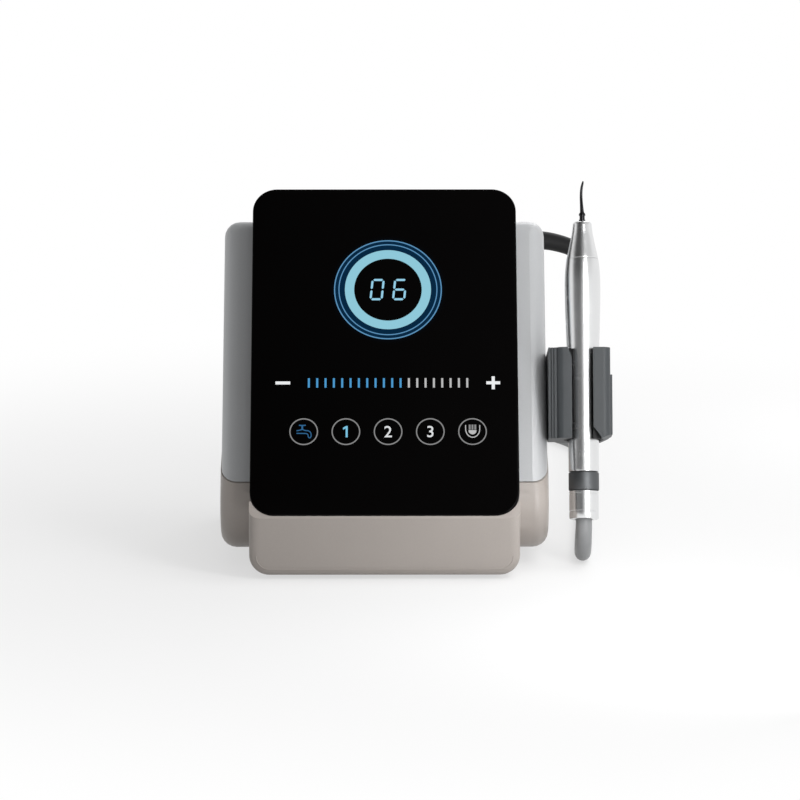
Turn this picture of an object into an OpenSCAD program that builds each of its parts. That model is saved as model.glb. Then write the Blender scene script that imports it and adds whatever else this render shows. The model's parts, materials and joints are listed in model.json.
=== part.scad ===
// Ultrasonic dental scaler: a tabletop unit with a leaning touch panel, a
// handpiece that stands in a side cradle, and its hose coiled behind the unit.
// Millimetres, X to the right, Y to the back, Z up. The origin is the middle of
// the front foot's underside, on the unit's centre plane.

/* [Touch panel] */
// Width of the glass
panel_w = 120; // [116:0.5:122]
// Height of the glass along its slope
panel_h = 159; // [152:1:162]
// Corner radius of the glass
panel_r = 11; // [7:0.5:13]
// Thickness of the glass
glass_t = 2.2; // [1.8:0.1:2.6]
// Depth of the tray behind the glass
tray_t = 7.3; // [6.8:0.1:8.5]
// Lean of the panel back from upright, in degrees
recline = 34.6; // [33:0.2:37]
// Height of the panel's lower edge above the table
panel_z = 29.8; // [28.6:0.2:32]

/* [Display] */
// Radius of the outer thin ring
ring_r = 24.5; // [23.6:0.1:26]
// Radius of the inner thin ring
ring_inner_r = 22.5; // [21.6:0.1:23.4]
// Outer radius of the thick ring
glow_r = 19.5; // [18.5:0.1:20.5]
// Width of the thick ring
glow_w = 4.2; // [3:0.1:5]
// Height of a digit
digit_h = 10.4; // [9:0.2:12]
// Ticks on the level scale
ticks = 20; // [10:1:22]
// Spacing of the ticks
tick_pitch = 3.74; // [3.2:0.02:3.9]
// Radius of a touch key's circle
key_r = 6.4; // [5:0.1:7.5]
// Spacing of the touch keys
key_pitch = 18.85; // [16.5:0.05:20]

/* [Housing] */
// Width of the lower housing over its cheeks
housing_w = 147.2; // [146:0.2:152]
// Depth of the unit from its block's front to its back
housing_d = 130; // [128:0.5:136]
// Height of the cover's front edge above the table
housing_h = 144.4; // [141:0.2:147]
// Fall of the cover's top to the back, in degrees
top_fall = 13; // [8:0.5:16]
// Wall of the two shells
wall = 2.5; // [2:0.1:2.8]
// How far the lower housing stands proud of the cover at the sides
rim_step = 0.4; // [0.3:0.1:1]
// Edge radius at the two sides
side_r = 7; // [5:0.2:8]
// Radius where the cheeks turn under at the front
chin_r = 20; // [16:0.5:22]
// Height of the cheeks' underside above the table
cheek_z = 7; // [6:0.2:9]
// Height of the seam on the front of the cheeks
seam_z = 39.8; // [38.6:0.2:42]
// Rise of the seam to the back, in degrees
seam_rise = 18; // [16:0.5:22]
// Thickness of the rubber feet
foot_t = 2; // [1.5:0.1:3]
// Distance of the front foot's middle line from the block's front
foot_in = 20; // [18:0.5:24]

/* [Holder] */
// Distance of the handpiece's axis from the housing's side
holder_reach = 15.9; // [15.3:0.1:18]
// Length of the cradle along the handpiece
cradle_l = 41; // [38:1:44]
// Width of the cradle
cradle_w = 23.8; // [23:0.2:25.4]
// Width of the slot in the cradle's front
cradle_slot = 9.6; // [8:0.2:11]
// Thickness of the holder's plate
plate_t = 3.4; // [2.8:0.1:3.4]

/* [Handpiece] */
// Lean of the handpiece back from upright, in degrees
lean = 19.7; // [18.5:0.1:21]
// Length from the tail to the nose's end
hand_l = 135; // [132:0.5:138]
// Largest radius of the grip
grip_r = 8.05; // [7.8:0.05:8.3]
// Radius of the handle at its tail
tail_r = 6.8; // [6.7:0.05:6.9]
// Length of the tail ferrule
ferrule_l = 13; // [11:0.5:14]
// Length of the coupling ring
ring_l = 8; // [6:0.5:9]
// Radius of the coupling spigot
spigot_r = 4.3; // [4.1:0.05:4.4]
// Height of the scaler tip over the nose
tip_l = 18.6; // [17:0.2:20]

/* [Hose] */
// Diameter of the hose
hose_d = 7.2; // [6.8:0.1:7.2]
// Turns of the stored coil, with a half turn at the end
coil_turns = 5.5; // [3.5:1:6.5]
// Radius of the coil's outer turn
coil_r = 50.5; // [50.5:0.5:54]
// Spacing of the turns and of the layers
coil_pitch = 7.7; // [7.7:0.05:8]

/* [Back panel] */
// Height of the sockets above the table
socket_z = 45; // [43:0.5:48]
// Radius of the foot-switch socket's bore
foot_jack_r = 3.2; // [3:0.05:3.4]
// Radius of the water tube that the inlet takes
water_tube_r = 3; // [2.9:0.05:3.1]
// Width of the rocker switch
rocker_w = 11.4; // [10:0.2:12]
// Full swing of the rocker, in degrees
rocker_swing = 20; // [16:1:22]

/* [Hidden] */
$fn = 48;

// Clearances
fit_gap = 0.3;    // between pieces that only lie beside each other
run_gap = 0.05;   // around pins and spigots that turn or slide
seam_gap = 0.5;   // shadow line between the two shells
eps = 0.01;
big = 400;

// Main planes
front_y = -foot_in;
back_y = front_y + housing_d;
base_z = foot_t;
foot_l = 10;
half_w = housing_w/2;
panel_y = front_y + 0.5;
panel_t = glass_t + tray_t;
seat_y = panel_y + panel_t*cos(recline);
seat_z = panel_z - panel_t*sin(recline);
seat_gap = 0.2;

// Y of a point that lies d behind the cheeks' front plane, at height z
function behind(z, d) = seat_y + (d + (z - seat_z)*sin(recline))/cos(recline);
// Height of the seam at depth y
seam_y = behind(seam_z, 0);
function seam_at(y) = seam_z + (y - seam_y)*tan(seam_rise);

// Front block that carries the housing
block_w = panel_w + 0.4;
block_r = 9;
block_edge = 5;
block_turn = 2.2;  // depth over which its front face turns into its sides
block_lip = 0.4;
block_back = back_y - 7;
plate_in = block_r + 0.4;
plate_z = 2.5;
foot_w = block_w - 34.4;
floor_z = base_z + plate_z;

// Radii of the cheeks' outline
brow_r = side_r + 0.4;
crown_r = 8;
heel_r = 10;
arc_steps = 6;
edge_steps = 5;

// Centres of the two arcs that the sloping top touches
brow_z = housing_h - brow_r;
brow_y = behind(brow_z, brow_r);
crown_y = back_y - crown_r;
crown_z = brow_z + (brow_r - crown_r - (crown_y - brow_y)*sin(top_fall))/cos(top_fall);

// Handpiece: the point on its axis at the tail, and stations along it
hand_x = half_w + holder_reach;
hand_y = 2.5;
hand_z = 22.1;
ring_s = ferrule_l;
handle_s = ferrule_l + ring_l;
handle_gap = 0.3;
nose_s = hand_l - 17;
nose_r = 4.1;
bore_r = spigot_r + run_gap;
spigot_l = 22;
chamber_r = 5.6;
hose_r = hose_d/2;
hose_in = 1.5;

// Piezo stack, from the back mass to the horn
back_s = handle_s + 30;
back_l = 12;
disc_n = 4;
disc_t = 2.4;
electrode_t = 0.3;
stack_l = disc_n*disc_t + (disc_n + 1)*electrode_t;
stack_s = back_s + back_l;
horn_s = stack_s + stack_l;
horn_front = hand_l - 0.6;
horn_flange_s = horn_s + 12;
bolt_r = 1.8;
stud_r = 1;
collar_l = 4.8;
horn_seal_r = 0.75;

// Cradle
cradle_s = 56.3;
slot_x = -0.7;
cradle_s0 = cradle_s - cradle_l/2;
cradle_bore_r = 7.7;
liner_t = 1.2;

// Back panel
mains_x = -40;
rocker_x = -12;
jack_x = 14;
water_x = 42;
wall_y = back_y - wall;
gland_x = 45;
gland_z = crown_z - 7;
gland_y = back_y + 3;
gland_in = 11;
gland_r = 5;

// Coil
coil_x = 0;
coil_y = 215;
tie_t = 0.8;
coil_z = hose_r + tie_t + 0.1;
coil_rise = coil_pitch - 0.05;
coil_rings = 24;
coil_sides = 6;

// A point on the handpiece's axis, s from the tail
function hand_point(s) = [hand_x, hand_y + s*sin(lean), hand_z + s*cos(lean)];

// Points of the hose's free stretches, chosen by hand
gland_point = [gland_x, gland_y, gland_z];
boot_end = gland_point + [45.5, 33.2, -5];
boot_way = [1.6, 0.25, -1.15];
coil_in = [coil_x + hose_d, coil_y - coil_r, coil_z];
coil_out = [coil_x + hose_d, coil_y + coil_r, coil_z + coil_rise];
boot_path = [for (p = [[0, 0, 0], [0, 6, 0], [2.5, 14, 0.2], [8, 21.5, 0.4],
  [15.5, 26.5, 0.5], [24, 29.5, 0.35], [32, 31, -0.25], [38.5, 32.1, -1.8],
  boot_end - boot_way - gland_point, boot_end - gland_point]) gland_point + p];
drop_path = [boot_end, boot_end + boot_way, [94.8, 147, 113.4], [96.7, 147.7, 108.6],
  [97.6, 148.8, 100.5], [97.3, 150, 88], [96, 151.5, 74], [91.5, 153, 60], [84.5, 155, 46.5],
  [75.5, 157.3, 33.5], [64.5, 159.8, 22], [52, 162.2, 12.8], [38.5, 164, 7], [24, 164.5, 4.7],
  coil_in + [5, 0, 0], coil_in];
run_path = [coil_out, coil_out + [5, 0, 0], [27, 265.5, 10], [42, 265.5, 6.2],
  [56, 264.5, 4], [70, 260.5, 3.65], [82, 252.5, 3.65], [91, 241, 3.65],
  [96.5, 227, 3.65], [98.6, 212, 3.65], [98.5, 195, 3.65], [97.5, 178, 3.65],
  [96.8, 161, 3.65], [96, 144, 3.65], [95.2, 127, 3.65], [94.4, 110, 3.65],
  [93.6, 93, 3.65], [92.8, 76, 3.65], [91.9, 59, 3.65], [91, 44, 3.65],
  [90.2, 30, 3.65], [89.8, 21.5, 3.65], [89.5, 15.6, 3.75], [89.5, 10.8, 4.5],
  [89.5, 6.6, 6.9], [89.5, 3.5, 10.6], [89.5, 1.9, 15.1], [89.5, 1.75, 18.8], hand_point(0),
  hand_point(hose_in)];
feed_path = [[42, 77, 45], [42, 72.5, 45], [41, 70, 44.2], [38, 68.6, 43], [34.6, 68.6, 41.5],
  [31.8, 69.8, 39.2], [31, 71, 37], [31, 71, 35]];
outlet_path = [[31, 79, 35], [31, 79, 37], [31, 79.2, 42], [31.5, 80, 52], [33, 81.5, 65], [36, 84, 81],
  [39.8, 87.5, 97], [43, 90.6, 110], [44.6, 92.4, gland_z - 7], [45, 94.4, gland_z - 2.4],
  [45, 97, gland_z], [gland_x, back_y - gland_in, gland_z]];

// Points on an arc about c, from angle a0 to a1
function arc(c, r, a0, a1, n) =
  [for (i = [0:n]) let (a = a0 + (a1 - a0)*i/n) [c.x + r*cos(a), c.y + r*sin(a)]];
function unit(v) = v/norm(v);
function ease(a, b, t) = a + (b - a)*(1 - cos(180*min(1, max(0, t))))/2;

// Direction of a path at each of its points
function headings(p) = [for (i = [0:len(p) - 1])
  i == 0 ? unit(p[1] - p[0])
  : i == len(p) - 1 ? unit(p[i] - p[i - 1])
  : unit(unit(p[i] - p[i - 1]) + unit(p[i + 1] - p[i]))];
function square_to(v, t) = unit(v - (v*t)*t);
// A side direction that is carried along the path without twist
function sides_of(t, v) =
  [for (i = 0, s = square_to(v, t[0]); i < len(t);
    i = i + 1, s = i < len(t) ? square_to(s, t[i]) : s) s];

// A solid through rings of points that follow each other
module loft(rings) {
  n = len(rings[0]);
  m = len(rings);
  polyhedron(
    points = [for (r = rings) each r],
    faces = concat(
      [[for (i = [0:n - 1]) i]],
      [for (k = [0:m - 2]) for (i = [0:n - 1]) let (j = (i + 1)%n)
        each [[k*n + i, (k + 1)*n + j, k*n + j], [k*n + i, (k + 1)*n + i, (k + 1)*n + j]]],
      [[for (i = [n - 1:-1:0]) (m - 1)*n + i]]),
    convexity = 6);
}

// A round tube along a path, with a radius at each point
module tube(p, r, n, first_side = [1, 0, 0]) {
  t = headings(p);
  s = sides_of(t, first_side);
  loft([for (k = [0:len(p) - 1]) [for (i = [0:n - 1])
    let (a = 360*(i + 0.5)/n) p[k] + r[k]*(cos(a)*s[k] + sin(a)*cross(t[k], s[k]))]]);
}
function same(r, p) = [for (q = p) r];

// A rectangle with round corners, about the origin
module rounded(w, h, r) {
  square([w - 2*r, h], center = true);
  square([w, h - 2*r], center = true);
  for (x = [-1, 1], y = [-1, 1])
    translate([x*(w/2 - r), y*(h/2 - r)])
      circle(r);
}

// Frames of the panel and of the handpiece
module on_panel() {
  translate([0, panel_y, panel_z])
    rotate([90 - recline, 0, 0])
      children();
}
module on_handpiece(s = 0) {
  translate([hand_x, hand_y, hand_z])
    rotate([-lean, 0, 0])
      translate([0, 0, s])
        children();
}
// A cylinder from the back wall, with its axis to the back
module to_back(x, y, z) {
  translate([x, y, z])
    rotate([-90, 0, 0])
      children();
}

// The cheeks' outline in Y and Z, drawn in by an inset
function cheek_outline(inset) = concat(
  arc([behind(cheek_z + chin_r, chin_r), cheek_z + chin_r], chin_r - inset,
    180 - recline, 270, 2*arc_steps),
  arc([back_y - heel_r, cheek_z + heel_r], heel_r - inset, 270, 360, arc_steps),
  arc([crown_y, crown_z], crown_r - inset, 0, 90 - top_fall, arc_steps),
  arc([brow_y, brow_z], brow_r - inset, 90 - top_fall, 180 - recline, arc_steps));
function at_x(x, outline) = [for (p = outline) [x, p.x, p.y]];

// The rounded body of the two cheeks, of half width w, drawn in by an inset
module cheeks(w, inset) {
  r = side_r - inset;
  loft(concat(
    [for (i = [edge_steps:-1:0]) let (a = 90*i/edge_steps)
      at_x(-(w - r + r*sin(a)), cheek_outline(inset + r*(1 - cos(a))))],
    [for (i = [0:edge_steps]) let (a = 90*i/edge_steps)
      at_x(w - r + r*sin(a), cheek_outline(inset + r*(1 - cos(a))))]));
}

// The block's outline in X and Z, drawn in by an inset at its sides and foot
function block_outline(inset) = let (
    x = block_w/2 - block_r, r = block_r - inset, top = seam_z + 10)
  concat([[-block_w/2 + inset, top]], arc([-x, base_z + block_r], r, 180, 270, 2*arc_steps),
    arc([x, base_z + block_r], r, 270, 360, 2*arc_steps), [[block_w/2 - inset, top]]);
function at_y(y, outline) = [for (p = outline) [p.x, y, p.y]];

// The front block, rounded round its front and back faces
module block() {
  loft(concat(
    [for (i = [edge_steps:-1:0]) let (a = 90*i/edge_steps)
      at_y(block_back - block_edge*(1 - sin(a)), block_outline(block_edge*(1 - cos(a))))],
    [for (i = [0:edge_steps]) let (a = 90*i/edge_steps)
      at_y(front_y + block_turn*(1 - sin(a)), block_outline(block_edge*(1 - cos(a))))]));
}

// Everything in front of the panel's seat
module panel_space(grow) {
  on_panel()
    translate([-big/2, -fit_gap - grow, -panel_t - seat_gap - grow])
      cube([big, big, big]);
}
// The tray's seat in the block, between two horns that reach round its corners
module panel_pocket() {
  on_panel() {
    translate([0, 0, -panel_t - seat_gap])
      linear_extrude(big)
        tray_outline(-fit_gap);
    translate([-big/2, 0.6*panel_r, -panel_t - seat_gap])
      cube(big);
    translate([-big/2, -big/2, -block_lip])
      cube(big);
  }
}
module above_seam(gap) {
  translate([0, seam_y, seam_z + gap])
    rotate([seam_rise, 0, 0])
      translate([-big/2, -big/2, 0])
        cube(big);
}
module below_seam(gap) {
  translate([0, seam_y, seam_z + gap])
    rotate([seam_rise, 0, 0])
      translate([-big/2, -big/2, -big])
        cube(big);
}

// Posts and screws that hold the cover on the housing
post_r = 4.2;
post_x = half_w - 9.6;
post_ys = [34, 92];
screw_r = 1.5;
screw_hole_r = 1.7;
pilot_r = 1.55;
head_r = 2.9;
head_t = 2.2;
screw_l = 22;
screw_grip = 12;
module at_posts() {
  for (x = [-post_x, post_x], y = post_ys)
    translate([x, y, seam_at(y)])
      children();
}

module base_housing() {
  color([0.66, 0.62, 0.59])
  difference() {
    union() {
      difference() {
        union() {
          cheeks(half_w, 0);
          difference() {
            block();
            panel_pocket();
          }
        }
        cheeks(half_w - wall, wall);
        difference() {
          translate([0, (front_y + block_back)/2, base_z + block_edge])
            linear_extrude(seam_z)
              rounded(block_w - 2*wall, block_back - front_y - 2*wall, block_edge - wall);
          panel_space(wall);
        }
        translate([0, (front_y + block_back)/2, 0])
          linear_extrude(base_z + block_edge + eps)
            rounded(block_w - 2*plate_in, block_back - front_y - 2*plate_in, block_r - 4);
      }
      for (x = [-post_x, post_x], y = post_ys)
        translate([x, y, cheek_z + 0.6])
          cylinder(r = post_r, h = seam_at(y) - cheek_z);
      // Ledges that the base plate is screwed to
      for (x = [-1, 1], y = [front_y + plate_in + 4, block_back - plate_in - 4])
        translate([x*(block_w/2 - plate_in - 4), y, floor_z])
          cylinder(r = 6.5, h = 5);
    }
    above_seam(0);
    at_posts()
      translate([0, 0, -big])
        cylinder(r = screw_hole_r, h = 2*big);
    at_posts()
      translate([0, 0, screw_grip - screw_l - big])
        cylinder(r = head_r + fit_gap, h = big);
    for (x = [-1, 1], y = [front_y + plate_in + 4, block_back - plate_in - 4])
      translate([x*(block_w/2 - plate_in - 4), y, floor_z - eps])
        cylinder(r = pilot_r, h = big/20);
    // Openings in the back
    translate([mains_x - mains_w/2, wall_y - eps, socket_z - mains_h/2])
      cube([mains_w, wall + 1, mains_h]);
    translate([rocker_x - bezel_w/2, wall_y - eps, socket_z - bezel_h/2])
      cube([bezel_w, wall + 1, bezel_h]);
    to_back(jack_x, wall_y - 1, socket_z)
      cylinder(r = jack_body_r, h = wall + 2);
    to_back(water_x, wall_y - 1, socket_z)
      cylinder(r = water_body_r, h = wall + 2);
  }
}

// Base plate with its vents, flush in the block's underside
vents = 4;
vent_pitch = 6;
vent_w = 2.4;
vent_l = 26;
module base_plate() {
  hole_x = block_w/2 - plate_in - 4;
  color([0.35, 0.36, 0.37])
  difference() {
    translate([0, (front_y + block_back)/2, base_z])
      linear_extrude(plate_z)
        rounded(block_w - 2*plate_in - 2*fit_gap, block_back - front_y - 2*plate_in - 2*fit_gap,
          block_r - 4 - fit_gap);
    for (x = [-1, 1], y = [front_y + plate_in + 4, block_back - plate_in - 4])
      translate([x*hole_x, y, 0]) {
        cylinder(r = screw_hole_r, h = big/10);
        translate([0, 0, base_z - eps])
          cylinder(r = head_r + fit_gap, h = plate_z - 1);
      }
    for (i = [-vents:vents])
      translate([i*vent_pitch, (front_y + block_back)/2, base_z + plate_z/2])
        cube([vent_w, vent_l, plate_z + 1], center = true);
  }
}

module screw(l) {
  cylinder(r = screw_r, h = l);
  translate([0, 0, -head_t])
    difference() {
      cylinder(r = head_r, h = head_t);
      translate([0, 0, -eps])
        cylinder(r = 1.3, h = 1.2, $fn = 6);
    }
}

module base_screws() {
  head_seat = base_z + plate_z - 1 - eps;
  color([0.7, 0.7, 0.72])
  for (x = [-1, 1], y = [front_y + plate_in + 4, block_back - plate_in - 4])
    translate([x*(block_w/2 - plate_in - 4), y, head_seat])
      difference() {
        union() {
          cylinder(r = screw_r, h = 5);
          translate([0, 0, -1.4])
            cylinder(r = head_r, h = 1.4);
        }
        translate([0, 0, -1.4 - eps])
          cylinder(r = 1.2, h = 0.8, $fn = 6);
      }
}

module rubber_feet() {
  color([0.12, 0.12, 0.13])
  for (y = [0, block_back - foot_in])
    translate([0, y, 0])
      linear_extrude(foot_t) {
        square([foot_w - foot_l, foot_l], center = true);
        for (x = [-1, 1])
          translate([x*(foot_w - foot_l)/2, 0])
            circle(foot_l/2);
      }
}

window_w = 70;
window_h = 60;
window_y = 58;
module rear_cover() {
  cover_half = half_w - rim_step;
  color([0.74, 0.75, 0.76])
  difference() {
    union() {
      difference() {
        cheeks(cover_half, 0);
        cheeks(cover_half - wall, wall);
      }
      for (x = [-1, 1], y = post_ys)
        translate([x*post_x, y, seam_at(y)]) {
          translate([0, 0, -post_r])
            cylinder(r = post_r, h = post_r + screw_grip + 1);
          translate([x > 0 ? 0 : -(cover_half - post_x - 1), -1, -1])
            cube([cover_half - post_x - 1, 2, screw_grip + 2]);
        }
      for (i = [0, 1])
        translate([cover_half - wall - 6, holder_screw_y(i), holder_screw_z(i)])
          rotate([0, 90, 0])
            cylinder(r = 3.6, h = 6 + wall/2);
    }
    below_seam(seam_gap);
    at_posts()
      translate([0, 0, -post_r - 1])
        cylinder(r = pilot_r, h = post_r + 1 + screw_grip);
    for (i = [0, 1])
      translate([cover_half - wall - 7, holder_screw_y(i), holder_screw_z(i)])
        rotate([0, 90, 0])
          cylinder(r = pilot_r, h = big/10);
    to_back(gland_x, wall_y - 1, gland_z)
      cylinder(r = gland_r + run_gap, h = wall + 2);
    on_panel() {
      translate([-window_w/2, window_y, -panel_t - wall - 2])
        cube([window_w, window_h, wall + 4]);
      for (x = [-1, 1], u = tray_screw_us)
        translate([x*tray_screw_x, u, -panel_t - wall - 2])
          cylinder(r = 1.6, h = wall + 4);
    }
  }
}

module cover_screws() {
  color([0.7, 0.7, 0.72])
  at_posts()
    translate([0, 0, screw_grip - screw_l])
      screw(screw_l - 1);
}

// Tray that carries the glass and the touch board
tray_wall = 3;
tray_floor = 1.8;
tray_screw_x = 50;
tray_screw_us = [42, (housing_h - panel_z)/cos(recline) - 12.7];
board_t = 1.2;
guide_t = 2;
board_w = panel_w - 2*tray_wall - 3;
board_h = panel_h - 2*tray_wall - 3;
board_back = -glass_t - guide_t - board_t;
module tray_outline(inset) {
  translate([0, panel_h/2])
    rounded(panel_w - 2*inset, panel_h - 2*inset, panel_r - inset);
}
module panel_tray() {
  color([0.06, 0.06, 0.07])
  on_panel()
    difference() {
      union() {
        difference() {
          translate([0, 0, -panel_t])
            linear_extrude(tray_t)
              tray_outline(0);
          translate([0, 0, -panel_t + tray_floor])
            linear_extrude(tray_t)
              tray_outline(tray_wall);
        }
        for (x = [-1, 1], u = tray_screw_us)
          translate([x*tray_screw_x, u, -panel_t + eps])
            cylinder(r = 3.2, h = board_back + panel_t - eps);
      }
      translate([-window_w/2 + 4, window_y + 4, -panel_t - 1])
        cube([window_w - 8, window_h - 8, tray_floor + 2]);
      for (x = [-1, 1], u = tray_screw_us)
        translate([x*tray_screw_x, u, -panel_t - 1])
          cylinder(r = 1.2, h = board_back + panel_t + 2);
    }
}

module panel_screws() {
  color([0.7, 0.7, 0.72])
  on_panel()
    for (x = [-1, 1], u = tray_screw_us)
      translate([x*tray_screw_x, u, -panel_t - wall]) {
        cylinder(r = 1.15, h = wall + 3);
        translate([0, 0, -1.5])
          cylinder(r = 2.4, h = 1.5);
      }
}

module touch_glass() {
  color([0.02, 0.02, 0.025])
  on_panel()
    translate([0, 0, -glass_t])
      linear_extrude(glass_t)
        tray_outline(0);
}

// Lit windows and printed marks on the glass
mark_t = 0.15;
mark_x = 1.6;
display_u = 108.8;
scale_u = 63.2;
keys_u = 39.7;
line_w = 0.8;
module ring(r, w) {
  difference() {
    circle(r);
    circle(r - w);
  }
}
module on_glass(u, t = mark_t) {
  on_panel()
    translate([mark_x, u, 0])
      linear_extrude(t)
        children();
}
module display_rings() {
  color([0.35, 0.62, 0.85])
  on_glass(display_u) {
    ring(ring_r, line_w);
    ring(ring_inner_r, line_w);
    ring(glow_r, glow_w);
  }
}

// Seven bars of a digit: top, upper left and right, middle, lower ones, bottom
bar_w = 1;
digit_w = 6.6;
digit_pitch = 10.2;
module digit(bars) {
  h = digit_h - bar_w;
  w = digit_w - bar_w;
  places = [[0, h/2, 1], [-w/2, h/4, 0], [w/2, h/4, 0], [0, 0, 1],
    [-w/2, -h/4, 0], [w/2, -h/4, 0], [0, -h/2, 1]];
  for (i = bars)
    translate([places[i].x, places[i].y])
      square(places[i].z == 1 ? [w - bar_w - 0.6, bar_w] : [bar_w, h/2 - bar_w/2 - 0.6],
        center = true);
}
module display_digits() {
  color([0.65, 0.88, 0.95])
  on_glass(display_u) {
    translate([-digit_pitch/2, 0])
      digit([0, 1, 2, 4, 5, 6]);
    translate([digit_pitch/2, 0])
      digit([0, 1, 3, 4, 5, 6]);
  }
}

sign_x = 47.2;
module level_scale() {
  color([0.5, 0.7, 0.85])
  on_glass(scale_u) {
    for (i = [0:ticks - 1])
      translate([(i - (ticks - 1)/2)*tick_pitch, 0])
        square([0.9, 4.5], center = true);
    translate([-sign_x, 0])
      square([6.6, 1.4], center = true);
    translate([sign_x, 0]) {
      square([6.2, 1.4], center = true);
      square([1.4, 6.2], center = true);
    }
  }
}

module touch_keys() {
  color([0.8, 0.82, 0.84])
  on_glass(keys_u)
    for (i = [-2:2])
      translate([i*key_pitch, 0])
        ring(key_r, 0.6);
}

module light_guide_ring() {
  color([0.85, 0.9, 0.95])
  on_panel()
    translate([mark_x, display_u, -glass_t - guide_t])
      linear_extrude(guide_t)
        ring(ring_r + 1.5, ring_r + 1.5 - (glow_r - glow_w - 0.5));
}

module digit_module() {
  color([0.1, 0.1, 0.1])
  on_panel()
    translate([mark_x, display_u, -glass_t - guide_t/2])
      cube([digit_pitch + digit_w + 3, digit_h + 4, guide_t], center = true);
}

module touch_board() {
  color([0.05, 0.3, 0.16])
  on_panel() {
    translate([0, panel_h/2, board_back])
      linear_extrude(board_t)
        rounded(board_w, board_h, 4);
    // Touch pads under the five keys
    for (i = [-2:2])
      translate([mark_x + i*key_pitch, keys_u, board_back + board_t - eps])
        cylinder(r = key_r - 0.4, h = guide_t + eps);
    translate([-15, window_y + window_h/2 - 3, board_back - 2.2])
      cube([30, 6, 2.2 + eps]);
  }
}

// Main board on its standoffs
main_z = floor_z + 8.5;
main_w = 92;
main_t = 1.6;
main_y0 = 2;
main_y1 = 60;
standoffs = [for (x = [-1, 1], y = [main_y0 + 5, main_y1 - 5]) [x*(main_w/2 - 5), y]];
module main_board() {
  color([0.06, 0.32, 0.18])
  translate([0, 0, main_z]) {
    difference() {
      translate([-main_w/2, main_y0, 0])
        cube([main_w, main_y1 - main_y0, main_t]);
      for (p = standoffs)
        translate([p.x, p.y, -1])
          cylinder(r = 1.6, h = 4);
    }
    for (i = [0:2])
      translate([-8 + 12*i, 10, 1.5])
        cylinder(r = 4, h = 12);
    translate([-40, 44, 1.5])
      cube([14, 9, 9]);
    translate([-6, 50, 1.5])
      cube([22, 7, 7]);
  }
}
module board_standoffs() {
  color([0.8, 0.68, 0.3])
  for (p = standoffs)
    translate([p.x, p.y, floor_z]) {
      cylinder(r = 3, h = main_z - floor_z, $fn = 6);
      cylinder(r = 1.5, h = main_z - floor_z + 3);
    }
}
sink_w = 32;
sink_l = 26;
fins = 7;
fin_t = 1.4;
module heat_sink() {
  color([0.6, 0.61, 0.63])
  translate([8, 20, main_z + main_t]) {
    cube([sink_w, sink_l, 3]);
    for (i = [0:fins - 1])
      translate([i*(sink_w - fin_t)/(fins - 1), 0, 2])
        cube([fin_t, sink_l, 14]);
  }
}
module output_transformer() {
  color([0.75, 0.45, 0.2])
  translate([-22, 27, main_z + main_t + 6])
    rotate_extrude()
      translate([9, 0])
        circle(6);
}
supply_w = 56;
supply_l = 30;
supply_h = 26;
module power_supply() {
  color([0.72, 0.73, 0.74])
  translate([-40, block_back - plate_in - supply_l - 0.2, floor_z])
    difference() {
      cube([supply_w, supply_l, supply_h]);
      for (i = [0:6])
        translate([supply_w/2 + 6*(i - 3), supply_l/2, supply_h])
          cube([2.4, supply_l/2, 2], center = true);
    }
}

// Sockets in the back
mains_w = 27.4;
mains_h = 20;
mains_l = 20;
recess_w = 22;
recess_h = 14.4;
recess_l = 15;
module mains_inlet() {
  color([0.08, 0.08, 0.09])
  difference() {
    translate([mains_x, wall_y - mains_l/2 + wall/2, socket_z])
      union() {
        cube([mains_w - fit_gap, mains_l + wall, mains_h - fit_gap], center = true);
        translate([0, mains_l/2 + wall/2 + 1, 0])
          cube([mains_w + 5, 2, mains_h + 5], center = true);
      }
    translate([mains_x, back_y + 2 - recess_l/2 + eps, socket_z])
      cube([recess_w, recess_l, recess_h], center = true);
    for (p = pin_places)
      translate([mains_x + p.x, back_y - recess_l, socket_z + p.y])
        cube([pin_w, 12, pin_h], center = true);
  }
}
pin_w = 2;
pin_h = 4;
pin_places = [[-7, -2], [7, -2], [0, 3]];
module inlet_pins() {
  color([0.8, 0.8, 0.82])
  for (p = pin_places)
    translate([mains_x + p.x, back_y - recess_l + 3.5, socket_z + p.y])
      cube([pin_w, 19, pin_h], center = true);
}

// Rocker switch: the rocker turns on two short pins in the bezel
bezel_w = rocker_w + 3.6;
bezel_h = 21;
bezel_l = 15;
rocker_h = 15.2;
rocker_rise = 3.4;
pivot_y = back_y - 1;
pivot_r = 1;
pivot_pin = 1;
module switch_bezel() {
  opening_h = 2*norm([rocker_h/2, rocker_rise]) + 2*fit_gap;
  color([0.07, 0.07, 0.08])
  difference() {
    translate([rocker_x, 0, socket_z])
      union() {
        translate([0, back_y - bezel_l/2, 0])
          cube([bezel_w - fit_gap, bezel_l, bezel_h - fit_gap], center = true);
        translate([0, back_y + 0.75, 0])
          cube([bezel_w + 2.6, 1.5, bezel_h + 2.6], center = true);
      }
    translate([rocker_x, back_y - 3, socket_z])
      cube([rocker_w + 2*fit_gap, 16, opening_h], center = true);
    translate([rocker_x - rocker_w/2 - pivot_pin - fit_gap, pivot_y, socket_z])
      rotate([0, 90, 0])
        cylinder(r = pivot_r + run_gap, h = rocker_w + 2*pivot_pin + 2*fit_gap);
  }
}
module power_rocker() {
  color([0.05, 0.05, 0.06])
  translate([rocker_x, pivot_y, socket_z])
    rotate([-rocker_swing/2, 0, 0]) {
      rotate([90, 0, 90])
        translate([0, 0, -rocker_w/2])
          linear_extrude(rocker_w)
            polygon([[-3, -3], [-3, 3], [-1, rocker_h/2], [rocker_rise, rocker_h/2], [2, 0],
              [rocker_rise, -rocker_h/2], [-1, -rocker_h/2]]);
      translate([-rocker_w/2 - pivot_pin, 0, 0])
        rotate([0, 90, 0])
          cylinder(r = pivot_r, h = rocker_w + 2*pivot_pin);
    }
}

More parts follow.
